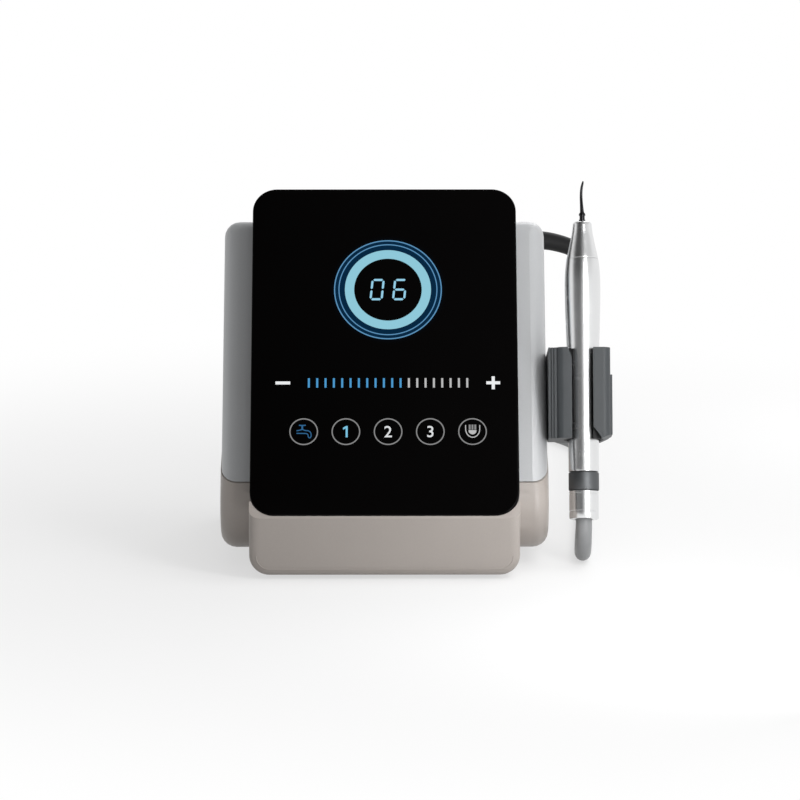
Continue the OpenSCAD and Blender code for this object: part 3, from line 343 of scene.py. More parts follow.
def winding(name, colour):
    """Varnished copper wire wound round a core."""
    wire = Finish(name, colour, 0.3, 1.0)
    x, y, _ = wire.where()
    turns = ((x * 5200).sine() + (y * 5200).sine()).ramp(-0.4, 0.6)
    wire.tint(turns, 0.55, 1.1)
    wire.bump(turns, 0.2, 0.8)
    return wire.material


SLOT_FINISH = {
    "dark_plastic": (skin, "plastic", (0.09, 0.09, 0.095), 0.5),
    "black_plastic": (skin, "plastic", (0.018, 0.018, 0.02), 0.42),
    "white_plastic": (skin, "plastic", (0.7, 0.7, 0.68), 0.4),
    "blue_plastic": (skin, "plastic", (0.03, 0.11, 0.36), 0.35),
    "light_guide": (skin, "plastic", (0.75, 0.8, 0.85), 0.3),
    "slate_plastic": (skin, "eroded", (0.042, 0.047, 0.051), 0.5),
    "screw_steel": (skin, "plated", (0.62, 0.62, 0.63), 0.32),
    "steel": (skin, "ground", (0.58, 0.58, 0.6), 0.36),
    "titanium": (skin, "plated", (0.5, 0.5, 0.52), 0.3),
    "brass": (skin, "plated", (0.78, 0.62, 0.32), 0.3),
    "plated_brass": (skin, "plated", (0.7, 0.7, 0.71), 0.24),
    "aluminium": (skin, "brushed", (0.62, 0.63, 0.65), 0.38),
    "rubber": (skin, "rubber", (0.03, 0.03, 0.031), 0.62),
    "boot_rubber": (skin, "rubber", (0.009, 0.009, 0.0095), 0.55),
    "seal_rubber": (skin, "rubber", (0.35, 0.05, 0.03), 0.62),
    "ceramic": (skin, "fired", (0.6, 0.57, 0.48), 0.5),
    "clear_tube": (skin, "milky", (0.75, 0.82, 0.88), 0.2),
    "circuit_board": (board, (0.02, 0.14, 0.07)),
    "copper_winding": (winding, (0.72, 0.38, 0.16)),
}


def slot_finish(slot):
    maker, *arguments = SLOT_FINISH[slot]
    return finish(slot, maker, *arguments)


# Settings

def colour_field(name, description, default):
    return FloatVectorProperty(name=name, description=description, subtype="COLOR", size=3, default=default,
                               min=0, max=1)


def length_field(name, description, default, low, high):
    return FloatProperty(name=name, description=description, unit="LENGTH", default=default, min=low,
                         max=high)


def power_field(name, description, default):
    return FloatProperty(name=name, description=description, default=default, min=0, max=400)


# Pieces

def settle(piece, material, body="unit"):
    """Gives a new piece its material and its body."""
    piece.data.materials.append(material)
    if body:
        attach(piece, body)
    return piece


def stand_in(piece, material, node):
    """Settles a piece as the CAD node that it stands for."""
    settle(piece, material, BODY_OF[node])
    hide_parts(node)
    return piece


def linked(name, data):
    """A new object in the scene."""
    piece = bpy.data.objects.new(name, data)
    bpy.context.scene.collection.objects.link(piece)
    return piece


def mesh_piece(name, shape, angle=CREASE):
    """An object from a bmesh, shaded smooth except at edges sharper than the angle."""
    mesh = bpy.data.meshes.new(name)
    shape.to_mesh(mesh)
    shape.free()
    mesh.shade_smooth()
    mesh.set_sharp_from_angle(angle=math.radians(angle))
    return linked(name, mesh)


def solid(name, points, faces, angle=CREASE):
    """A mesh piece from points and faces, closed up, with its faces turned outward."""
    shape = bmesh.new()
    corners = [shape.verts.new(p) for p in points]
    for face in faces:
        if len(set(face)) > 2:
            shape.faces.new([corners[i] for i in face])
    bmesh.ops.remove_doubles(shape, verts=shape.verts, dist=1e-7)
    bmesh.ops.recalc_face_normals(shape, faces=shape.faces)
    return mesh_piece(name, shape, angle)


def lofts(name, bodies, angle=CREASE):
    """Solids through rings of points, as one piece: each with its rings and whether it has caps."""
    points, faces = [], []
    for rings, capped in bodies:
        start, n, m = len(points), len(rings[0]), len(rings)
        loops = [[start + k * n + i for i in range(n)] for k in range(m)]
        after = loops[1:] + ([] if capped else loops[:1])
        faces += [(a[i - 1], a[i], b[i], b[i - 1]) for a, b in zip(loops, after) for i in range(n)]
        faces += [loops[0], loops[-1]] if capped else []
        points += [p for ring in rings for p in ring]
    return solid(name, points, faces, angle)


def loft(name, rings, angle=CREASE, capped=True):
    """A solid through rings of points; without caps the last ring meets the first."""
    return lofts(name, [(rings, capped)], angle)


def around(steps):
    """Cosine and sine at each step round a circle."""
    return [(math.cos(a), math.sin(a)) for a in (2 * math.pi * i / steps for i in range(steps))]


def lathe(name, outline, steps=96, place=HAND, capped=False):
    """A turned piece, from a closed outline of radius and station, or an open one whose ends get caps."""
    rings = [[place(radius * c, radius * s, station) for c, s in around(steps)]
             for radius, station in outline]
    return loft(name, rings, capped=capped)


def tube(name, path, radii, sides, first_side, angle=50):
    """A round tube along a path in metres, with a radius in metres at each point."""
    rings = []
    side = Vector(first_side)
    for k, spot in enumerate(path):
        before = path[k] - path[k - 1] if k else path[1] - path[0]
        after = path[k + 1] - path[k] if k + 1 < len(path) else before
        heading = (before.normalized() + after.normalized()).normalized()
        side = (side - heading * side.dot(heading)).normalized()
        other = heading.cross(side)
        rings.append([spot + radii[k] * (c * side + s * other) for c, s in around(sides)])
    return loft(name, rings, angle)


def dress(node, bevel_mm, material=None, name=None):
    """A copy of a CAD node with its edges rounded by a bevel and its finish, which stands for the node."""
    shape = bmesh.new()
    shape.from_mesh(frame["nodes"][node].data)
    bmesh.ops.remove_doubles(shape, verts=shape.verts, dist=1e-6)
    bmesh.ops.dissolve_limit(shape, angle_limit=math.radians(0.6), verts=shape.verts, edges=shape.edges)
    piece = mesh_piece(name or node + "_dressed", shape)
    rounding = piece.modifiers.new("rounding", "BEVEL")
    rounding.width = bevel_mm * MM
    rounding.segments = 3
    rounding.limit_method = "ANGLE"
    rounding.angle_limit = math.radians(CREASE)
    rounding.use_clamp_overlap = True
    rounding.harden_normals = True
    return stand_in(piece, material or slot_finish(SLOT_OF[node]), node)


def dress_all(**bevels_mm):
    """Rounds several CAD nodes, each by its own bevel."""
    for node, bevel_mm in bevels_mm.items():
        dress(node, bevel_mm)


def paint(node, material):
    """Gives a CAD node whose shape stays a finish."""
    data = frame["nodes"][node].data
    data.materials.clear()
    data.materials.append(material)


def repaint(*nodes):
    """Gives CAD nodes whose shape stays the finish of their slot."""
    for node in nodes:
        paint(node, slot_finish(SLOT_OF[node]))


def rounded_rectangle(width, height, radius, steps=12):
    """Corner points of a rectangle with round corners about the origin, counter-clockwise."""
    points = []
    for corner, (sx, sy) in enumerate(((1, -1), (1, 1), (-1, 1), (-1, -1))):
        for i in range(steps + 1):
            a = math.radians(-90 + 90 * corner + 90 * i / steps)
            points.append((sx * (width / 2 - radius) + radius * math.cos(a),
                           sy * (height / 2 - radius) + radius * math.sin(a)))
    return points


def glass_rings(edge, steps=5):
    """Rings of the glass, whose front edge is rounded by a radius in mm."""
    turns = [math.pi / 2 * i / steps for i in range(steps + 1)]
    rounding = [(edge * (1 - math.cos(a)), edge * (math.sin(a) - 1)) for a in turns]
    rings = []
    for inset, level in [(0, -GLASS_T)] + rounding:
        outline = rounded_rectangle(PANEL_W - 2 * inset, PANEL_H - 2 * inset, PANEL_R - inset)
        rings.append([PANEL(x, PANEL_H / 2 + y, level) for x, y in outline])
    return rings


# The touch panel

DISPLAY = (1.6, 108.8)
KEYS_U = 39.7
TICK_PITCH = 3.74
KEY_PITCH = 18.85
MARK_T, GROUND_T = 0.15, 0.06


def extruded(name, centre, outlines=(), bands=(), high=MARK_T):
    """Thin plates on the glass: outlines, and rings given as an outer and an inner outline."""
    def ring(outline, level):
        return [PANEL(centre[0] + x, centre[1] + y, level) for x, y in outline]
    bodies = [((ring(outline, 0), ring(outline, high)), True) for outline in outlines]
    bodies += [((ring(outer, 0), ring(outer, high), ring(inner, high), ring(inner, 0)), False)
               for outer, inner in bands]
    return lofts(name, bodies)


def band(outer, width, x=0.0, steps=96):
    """A ring as its outer and inner outline."""
    return [[(x + size * c, size * s) for c, s in around(steps)] for size in (outer, outer - width)]


def stroke(points, width):
    """A line of that width along points, as one outline."""
    left, right = [], []
    for i, spot in enumerate(points):
        a = Vector(points[max(i - 1, 0)])
        b = Vector(points[min(i + 1, len(points) - 1)])
        way = (b - a).normalized()
        off = Vector((-way.y, way.x)) * width / 2
        left.append(tuple(Vector(spot) + off))
        right.append(tuple(Vector(spot) - off))
    return left + right[::-1]


def digit_outlines(bars, x):
    """Bars of a seven-segment digit with pointed ends, slanted to the right."""
    h, w, thick, gap, slant = 4.75, 2.5, 0.95, 0.32, 0.1
    ends = {"top": (-w, h, w, h), "middle": (-w, 0, w, 0), "bottom": (-w, -h, w, -h),
            "upper_left": (-w, 0, -w, h), "upper_right": (w, 0, w, h),
            "lower_left": (-w, -h, -w, 0), "lower_right": (w, -h, w, 0)}
    outlines = []
    for bar in bars.split():
        a, b = Vector(ends[bar][:2]), Vector(ends[bar][2:])
        way = (b - a).normalized()
        side = Vector((-way.y, way.x)) * thick / 2
        a, b = a + way * gap, b - way * gap
        tip = way * thick / 2
        outline = [a, a + tip - side, b - tip - side, b, b - tip + side, a + tip + side]
        outlines.append([(x + p.x + slant * p.y, p.y) for p in outline])
    return outlines


# A water tap seen from the side, drawn as one fine line with a cross handle
TAP = [stroke([(-3.2, 0.4), (-1.8, 0.7), (-0.9, 1.0), (-0.4, 1.0), (0.7, 0.55), (2.1, 0.4), (2.9, -0.1),
               (3.3, -1.0), (3.35, -2.1), (3.0, -2.9), (2.5, -3.0), (2.05, -2.5), (1.95, -1.6), (1.5, -1.0),
               (0.9, -0.85), (-3.2, -0.8)], 0.42),
       stroke([(-0.65, 1.1), (-0.65, 2.0), (-0.65, 2.8)], 0.75),
       stroke([(-2.1, 3.1), (-0.6, 2.95), (0.9, 3.1)], 0.5)]
# A rinsing cup in its holder: a fine outer line and a filled bowl, with the water over it as three bars
CUP = [stroke([(-3.1, 3.1), (-3.05, 0.6), (-2.65, -0.8), (-1.8, -2.0), (-0.7, -2.65), (0.1, -2.75),
               (0.9, -2.65), (1.95, -2.0), (2.85, -0.8), (3.2, 0.6), (3.25, 3.1)], 0.42),
       [(-1.8, 0.65), (1.8, 0.65), (1.65, -0.3), (1.0, -1.05), (0.1, -1.4), (-0.9, -1.05), (-1.65, -0.3)]]
WATER = [stroke([(x, 0.95), (x, 3.3)], 0.84) for x in (-1.25, 0, 1.25)]
ONE = [(-0.1, -2.7), (0.8, -2.7), (0.8, 2.7), (0.05, 2.7), (-1.3, 1.85), (-1.3, 0.95), (-0.1, 1.6)]


def numeral(text, x, height=5.4):
    """A plain numeral on a key, turned into a mesh that lies on the glass."""
    name = "mode_" + text
    line = bpy.data.curves.new(name, "FONT")
    line.body = text
    line.size, line.extrude, line.offset, line.resolution_u = 1.0, 0.02, 0.004, 6
    line.align_x, line.align_y = "CENTER", "CENTER"
    source = linked(name + "_line", line)
    bpy.context.view_layer.update()
    mesh = bpy.data.meshes.new_from_object(source.evaluated_get(bpy.context.evaluated_depsgraph_get()))
    bpy.data.objects.remove(source)
    xs, ys = [v.co.x for v in mesh.vertices], [v.co.y for v in mesh.vertices]
    scale = height / (max(ys) - min(ys))
    for vertex in mesh.vertices:
        across = (vertex.co.x - (min(xs) + max(xs)) / 2) * scale
        along = (vertex.co.y - (min(ys) + max(ys)) / 2) * scale
        vertex.co = PANEL(DISPLAY[0] + x + across, KEYS_U + along, 0.0 if vertex.co.z < 0 else MARK_T)
    mesh.name = name
    return linked(name, mesh)


class PanelLook(bpy.types.PropertyGroup):
    """Colours of the touch panel."""
    glass: colour_field("Glass", "Colour of the glass", (0.001, 0.0008, 0.0008))
    halo: colour_field("Haze", "Faint light in the glass round the display", (0.0, 0.01, 0.025))
    ring: colour_field("Thin rings", "Light of the two thin rings", (0.105, 0.29, 0.5))
    glow: colour_field("Thick ring", "Light of the thick ring", (0.27, 0.575, 0.69))
    navy: colour_field("Display ground", "Dim light between the rings", (0.0, 0.018, 0.05))
    digits: colour_field("Digits", "Light of the digits", (0.3, 0.62, 0.8))
    tick_on: colour_field("Lit ticks", "Light of the ticks that are on", (0.07, 0.32, 0.62))
    tick_off: colour_field("Unlit ticks", "Grey of the ticks that are off", (0.5, 0.5, 0.5))
    sign: colour_field("Signs", "White of the minus and plus", (0.85, 0.87, 0.88))
    key_ring: colour_field("Key rings", "Pale print of the key circles", (0.25, 0.25, 0.25))
    key_on: colour_field("Chosen key", "Light of the mode that is on", (0.2, 0.55, 0.76))
    key_off: colour_field("Other keys", "White of the modes that are off", (0.72, 0.74, 0.75))
    tap: colour_field("Tap", "Light of the water key", (0.03, 0.13, 0.28))
    cup: colour_field("Cup", "Print of the cup key", (0.5, 0.5, 0.5))
    lit_ticks: IntProperty(name="Level", description="Number of ticks that are lit", default=12, min=0,
                           max=20)
    edge: length_field("Glass edge", "Edge radius of the glass", 0.0007, 0.0002, 0.0011)


class SCALER_OT_panel(bpy.types.Operator):
    """The black tray and glass with their lit marks"""
    bl_idname = "scaler.panel"
    bl_label = "Touch panel"

    def execute(self, context):
        look = context.scene.scaler_panel
        glass = loft("panel_glass", glass_rings(look.edge / MM), 60)
        stand_in(glass, finish("black_glass", dark_glass, look.glass, look.halo), "touch_glass")
        dress("panel_tray", 0.5)
        repaint("touch_board", "light_guide_ring", "digit_module", "panel_screws")
        paint("level_scale", finish("scale_light", lit_scale, look.tick_on, look.tick_off, look.sign,
                                    look.lit_ticks))

        rings = extruded("thin_rings", DISPLAY, bands=[band(24.4, 0.5), band(22.4, 0.45)])
        stand_in(rings, self.light(look, "ring"), "display_rings")
        ring = extruded("thick_ring", DISPLAY, bands=[band(19.5, 4.2)])
        settle(ring, self.light(look, "glow"))
        ground = extruded("display_ground", DISPLAY, (), [band(23.9, 1.5), band(21.95, 2.45)], GROUND_T)
        settle(ground, self.light(look, "navy"))
        digits = (digit_outlines("top bottom upper_left upper_right lower_left lower_right", -4.9)
                  + digit_outlines("top middle bottom upper_left lower_left lower_right", 5.3))
        stand_in(extruded("digits", DISPLAY, digits), self.light(look, "digits"), "display_digits")

        circles = [band(6.4, 0.5, i * KEY_PITCH, 64) for i in range(-2, 3)]
        rings = extruded("key_rings", (DISPLAY[0], KEYS_U), bands=circles)
        stand_in(rings, self.light(look, "key_ring"), "touch_keys")
        for name, outlines, place, field in (
                ("tap_mark", TAP, -2, "tap"), ("mode_1", [ONE], -1, "key_on"),
                ("cup_mark", CUP, 2, "cup"), ("cup_water", WATER, 2, "key_ring")):
            mark = extruded(name, (DISPLAY[0] + place * KEY_PITCH, KEYS_U), outlines)
            settle(mark, self.light(look, field))
        for text, place in (("2", 0), ("3", 1)):
            settle(numeral(text, place * KEY_PITCH), self.light(look, "key_off"))
        return {"FINISHED"}

    @staticmethod
    def light(look, field):
        """The lit or printed material of one of the panel's colours."""
        return finish(field + "_light", lit, getattr(look, field))


# The two shells and what is fixed to them

BLOCK_W, BLOCK_R, BLOCK_FOOT, BLOCK_FRONT, WALL = 120.4, 9.0, 2.0, -20.0, 2.5
LINE_INSET, LINE_RADIUS = 3.0, 0.26


class HousingLook(bpy.types.PropertyGroup):
    """Colours and edges of the housing."""
    silver: colour_field("Cover", "Silver paint of the upper shell", (0.47, 0.478, 0.487))
    grey: colour_field("Lower shell", "Warm grey of the lower shell", (0.39, 0.352, 0.325))
    edge: length_field("Seam edge", "Edge radius along the seam", 0.0006, 0.0001, 0.001)


class SCALER_OT_housing(bpy.types.Operator):
    """The two shells, the base plate, the feet and what lies inside"""
    bl_idname = "scaler.housing"
    bl_label = "Housing"

    def execute(self, context):
        look = context.scene.scaler_housing
        edge = look.edge / MM
        dress("rear_cover", edge, finish("silver_paint", silver_paint, look.silver), "silver_cover")
        grey = finish("warm_grey", skin, "painted", look.grey, 0.42)
        dress("base_housing", edge, grey, "lower_shell")
        settle(self.foot_line(), grey)
        dress_all(base_plate=0.2, rubber_feet=0.5, base_screws=0.15, cover_screws=0.15)
        repaint("main_board", "board_standoffs", "heat_sink", "output_transformer", "power_supply",
                "pressure_regulator", "solenoid_valve", "feed_tube", "outlet_tube", "gland_nut")
        return {"FINISHED"}

    @staticmethod
    def foot_line():
        """The fine raised line where the front face turns under."""
        side, foot, turn = BLOCK_W / 2 - LINE_INSET, BLOCK_FOOT + LINE_INSET, BLOCK_R - LINE_INSET
        path = []
        for sx, start in ((-1, 180), (1, 270)):
            for i in range(9):
                a = math.radians(start + 90 * i / 8)
                path.append(Vector((sx * (side - turn) + turn * math.cos(a), BLOCK_FRONT + LINE_RADIUS,
                                    foot + turn + turn * math.sin(a))) * MM)
        return tube("foot_line", path, [LINE_RADIUS * MM] * len(path), 12, (0, 1, 0))


class SCALER_OT_sockets(bpy.types.Operator):
    """The mains inlet, switch, foot-switch socket, water fitting and gland in the back"""
    bl_idname = "scaler.sockets"
    bl_label = "Back panel"

    def execute(self, context):
        dress_all(mains_inlet=0.35, inlet_pins=0.25, switch_bezel=0.3, power_rocker=0.3)
        jack = [(3.2, -13.6), (3.2, 2.1), (3.4, 2.3), (3.6, 2.4), (5.6, 2.4), (5.75, 2.2), (5.9, 2.4),
                (7.3, 2.4), (7.7, 2.3), (7.9, 2.1), (7.95, 1.8), (7.95, 0), (5.45, 0), (5.45, -WALL),
                (7.5, -WALL), (7.5, -WALL - 2), (5.45, -WALL - 2), (5.45, -WALL - 16)]
        stand_in(lathe("foot_switch_jack", jack, 64, JACK, True), slot_finish("black_plastic"),
                 "foot_switch_socket")
        dress_all(water_inlet=0.25, release_collet=0.2, hose_gland=0.4)
        return {"FINISHED"}


class SCALER_OT_holder(bpy.types.Operator):
    """The grooved plate and the two-jawed cradle on the right side"""
    bl_idname = "scaler.holder"
    bl_label = "Holder"

    def execute(self, context):
        dress_all(holder_plate=0.3, holder_cradle=1.2, cradle_liner=0.2, holder_screws=0.2)
        return {"FINISHED"}


# The handpiece

RING_S, RING_END = 13.0, 21.0
HANDLE_S, NOSE_S, HAND_L, GRIP_R = 21.0, 118.0, 135.0, 8.05
TIP_S = HAND_L - 0.3
FLAT = 1.15  # from the tip's axis to the spanner flats of its collar


def ease(a, b, t):
    return a + (b - a) * (1 - math.cos(math.pi * min(1, max(0, t)))) / 2


def handle_radius(s):
    """Outer radius of the handle at a distance from the tail, as in the part's source."""
    neck_s, swell_s = HANDLE_S + 39, HAND_L - 28.5
    if s < neck_s:
        return ease(6.8, 7.0, (s - HANDLE_S) / (neck_s - HANDLE_S))
    if s < swell_s:
        return ease(7.0, GRIP_R, (s - neck_s) / (swell_s - neck_s))
    return GRIP_R - 0.85 * ((s - swell_s) / (NOSE_S - swell_s)) ** 2


class HandLook(bpy.types.PropertyGroup):
    """Finish of the handpiece."""
    metal: colour_field("Sleeve", "Satin metal of the handle", (0.78, 0.785, 0.79))
    ring: colour_field("Ring", "Dark ring at the coupling", (0.13, 0.135, 0.14))
    tip: colour_field("Tip", "Dark steel of the working tip", (0.035, 0.035, 0.037))
    roughness: FloatProperty(name="Satin", description="Roughness of the metal", default=0.25, min=0.05,
                             max=0.8)


class SCALER_OT_handpiece(bpy.types.Operator):
    """The turned handle, nose, coupling ring, tail and working tip"""
    bl_idname = "scaler.handpiece"
    bl_label = "Handpiece"
    sides = around(24)

    def execute(self, context):
        look = context.scene.scaler_hand
        satin = finish("satin_metal", turned_metal, look.metal, look.roughness, 0.18)
        dark = finish("ring_metal", turned_metal, look.ring, 0.5, 0.5)

        stations = ([HANDLE_S + 0.8] + [HANDLE_S + 1.5 + i * 2.5 for i in range(38)]
                    + [NOSE_S - 0.5, NOSE_S - 0.15])
        outline = [(4.35, HANDLE_S + 0.3), (6.5, HANDLE_S + 0.3), (6.72, HANDLE_S + 0.42)]
        outline += [(handle_radius(s), s) for s in stations]
        outline += [(handle_radius(NOSE_S) - 0.03, NOSE_S - 0.03), (7.1, NOSE_S), (5.6, NOSE_S), (5.6, 47.0),
                    (3.4, 47.0), (3.4, 43.5), (4.35, 43.5)]
        stand_in(lathe("handle", outline), satin, "handle_sleeve")

        nose = [(2.6, NOSE_S + 8.5), (2.6, HAND_L - 0.2), (2.9, HAND_L), (3.55, HAND_L), (4.0, HAND_L - 0.3),
                (4.28, HAND_L - 1.0)]
        bulge = smooth_path([(4.35, HAND_L - 1.6, 0), (4.8, NOSE_S + 11.5, 0), (5.38, NOSE_S + 8.6, 0),
                             (6.12, NOSE_S + 5.1, 0), (6.79, NOSE_S + 2.0, 0), (7.15, NOSE_S + 0.15, 0)], 4)
        nose += [(p.x, p.y) for p in bulge]
        nose += [(7.12, NOSE_S + 0.07), (7.05, NOSE_S + 0.05), (5.55, NOSE_S + 0.05), (5.55, NOSE_S - 5),
                 (4.6, NOSE_S - 5), (4.6, NOSE_S)]
        stand_in(lathe("nose", nose), satin, "nose_cone")

        tail = [(3.9, 0), (5.9, 0), (6.35, 0.15), (6.6, 0.6), (6.6, 3.2), (6.45, 3.35), (6.45, 3.65),
                (6.6, 3.8), (6.6, 11.2), (6.45, 11.35), (6.45, 11.6), (6.6, 11.75), (6.6, 12.5), (6.4, 12.8),
                (5.0, 12.8), (5.0, 1.5), (3.9, 1.5)]
        stand_in(lathe("tail_collar", tail), satin, "tail_ferrule")

        ring = [(5.0, RING_S), (6.5, RING_S), (6.75, RING_S + 0.1), (6.85, RING_S + 0.35),
                (6.85, RING_END - 0.35), (6.75, RING_END - 0.1), (6.5, RING_END), (5.0, RING_END)]
        stand_in(lathe("coupling_band", ring), dark, "coupling_ring")

        repaint("connector_core", "contact_pins", "connector_seals", "back_mass", "piezo_discs",
                "disc_electrodes", "prestress_bolt", "horn", "horn_seal")
        self.tip(finish("tip_steel", skin, "hardened", look.tip, 0.3))
        return {"FINISHED"}

    def tip(self, steel):
        """The working tip: a collar with two flats and a slim bent blade."""
        blade = [(0, 0, 4.4), (-0.05, 0, 5.2), (-0.1, 0, 6.0), (-0.2, 0.1, 7.8), (-0.3, 0.5, 10.0),
                 (-0.35, 0.7, 12.3), (-0.3, 0.4, 14.5), (-0.1, -0.4, 16.4), (0.2, -1.3, 17.7),
                 (0.4, -2.2, 18.6)]
        radii = [0.95, 0.9, 0.85, 0.75, 0.68, 0.64, 0.6, 0.56, 0.5, 0.34]
        path, widths = smooth_path(blade, 4, radii)
        points = [self.collar_ring(*ring) for ring in (
            (0.96, -4.0), (1.0, -3.8), (1.0, -0.05), (1.3, 0.0), (1.5, 0.2), (1.5, 1.4), (1.5, 1.42, FLAT),
            (1.5, 3.38, FLAT), (1.5, 3.4), (1.5, 4.0), (1.25, 4.5), (0.97, 4.75))]
        side = Vector((1, 0, 0))
        for k in range(6, len(path)):
            way = (path[min(k + 1, len(path) - 1)] - path[k - 1]).normalized()
            side = (side - way * side.dot(way)).normalized()
            other = way.cross(side)
            points.append([HAND(*(path[k] + widths[k] * (c * side + s * other) + Vector((0, 0, TIP_S))))
                           for c, s in self.sides])
        stand_in(loft("working_tip", points, 40), steel, "scaler_tip")

    def collar_ring(self, radius, station, flat=9.0):
        """A ring of the collar, cut off at its two flats."""
        return [HAND(max(-flat, min(flat, radius * c)), radius * s, TIP_S + station) for c, s in self.sides]


# The hose

HOSE_D = 7.2
COIL_CENTRE = (0.0, 215.0)
COIL_TURNS, COIL_R, COIL_PITCH, COIL_Z, COIL_RISE = 5.5, 50.5, 7.7, 4.5, 7.65
# Points of the centreline in mm: in the boot, down to the coil, and from the coil to the handpiece
GLAND = (45.0, 113.0, 123.147)
BOOT_ROUTE = [GLAND, (45, 119, 123.147), (47.5, 127, 123.347), (53, 134.5, 123.547), (60.5, 139.5, 123.647),
              (69, 142.5, 123.497), (77, 144, 122.897), (83.5, 145.1, 121.347), (88.9, 145.95, 119.297),
              (90.5, 146.2, 118.147)]
DROP_ROUTE = [(92.1, 146.45, 116.997), (94.8, 147, 113.4), (96.7, 147.7, 108.6), (97.6, 148.8, 100.5),
              (97.3, 150, 88), (96, 151.5, 74), (91.5, 153, 60), (84.5, 155, 46.5), (75.5, 157.3, 33.5),
              (64.5, 159.8, 22), (52, 162.2, 12.8), (38.5, 164, 7), (24, 164.5, 4.7), (12.2, 164.5, 4.5),
              (7.2, 164.5, 4.5)]
TABLE_ROUTE = [(70, 260.5), (82, 252.5), (91, 241), (96.5, 227), (98.6, 212), (98.5, 195), (97.5, 178),
               (96.8, 161), (96, 144), (95.2, 127), (94.4, 110), (93.6, 93), (92.8, 76), (91.9, 59), (91, 44),
               (90.2, 30), (89.8, 21.5)]
RUN_ROUTE = [(7.2, 265.5, 12.15), (12.2, 265.5, 12.15), (27, 265.5, 10), (42, 265.5, 6.2), (56, 264.5, 4),
             *[(x, y, 3.65) for x, y in TABLE_ROUTE], (89.5, 15.6, 3.75), (89.5, 10.8, 4.5),
             (89.5, 6.6, 6.9), (89.5, 3.5, 10.6), (89.5, 1.9, 15.1), (89.5, 1.75, 18.8)]


def smooth_path(points, steps, values=None):
    """A smooth curve through points, with that many steps between them, and values eased along it."""
    points = [Vector(p) for p in points]
    guides = [points[0] * 2 - points[1], *points, points[-1] * 2 - points[-2]]
    path, eased = [], []
    for k in range(len(points) - 1):
        p0, p1, p2, p3 = guides[k:k + 4]
        t1, t2, t3 = ((b - a).length ** 0.5 for a, b in ((p0, p1), (p1, p2), (p2, p3)))
        m1 = (p1 - p0) / t1 - (p2 - p0) / (t1 + t2) + (p2 - p1) / t2
        m2 = (p2 - p1) / t2 - (p3 - p1) / (t2 + t3) + (p3 - p2) / t3
        m1, m2 = m1 * t2, m2 * t2
        for i in range(steps):
            t = i / steps
            a, b = 2 * t ** 3 - 3 * t ** 2 + 1, t ** 3 - 2 * t ** 2 + t
            c, d = -2 * t ** 3 + 3 * t ** 2, t ** 3 - t ** 2
            path.append(p1 * a + m1 * b + p2 * c + m2 * d)
            eased.append(values[k] + (values[k + 1] - values[k]) * t if values else 0)
    path.append(points[-1])
    eased.append(values[-1] if values else 0)
    return (path, eased) if values else path


def coil_route(rings=36):
    """The coil's centreline: in on the lower layer, out on the upper one, as in the part's source."""
    route = []
    for i in range(1, int(COIL_TURNS * rings)):
        t = i / rings
        radius = COIL_R - COIL_PITCH * min(t, COIL_TURNS - t)
        angle = math.radians(-90 - 360 * t)
        height = COIL_Z + ease(0, COIL_RISE, (t - COIL_TURNS / 2 + 0.25) / 0.5)
        route.append(Vector((COIL_CENTRE[0] + radius * math.cos(angle),
                             COIL_CENTRE[1] + radius * math.sin(angle), height)))
    return route


def hose_route():
    """The hose's centreline from the gland to the handpiece's tail, in metres."""
    tail = [TAIL, TAIL + HAND.out * 1.5]
    out = smooth_path(BOOT_ROUTE + DROP_ROUTE + [(0.0, 164.5, 4.5)], 4)
    back = smooth_path([(0.0, 265.5, 12.15)] + RUN_ROUTE + tail, 4)
    return [p * MM for p in out + coil_route() + back]


class HoseLook(bpy.types.PropertyGroup):
    """Finish of the hose."""
    silicone: colour_field("Hose", "Grey of the silicone hose", (0.265, 0.27, 0.275))
    sides: IntProperty(name="Sides", description="Sides of the hose's round tube", default=20, min=8, max=48)


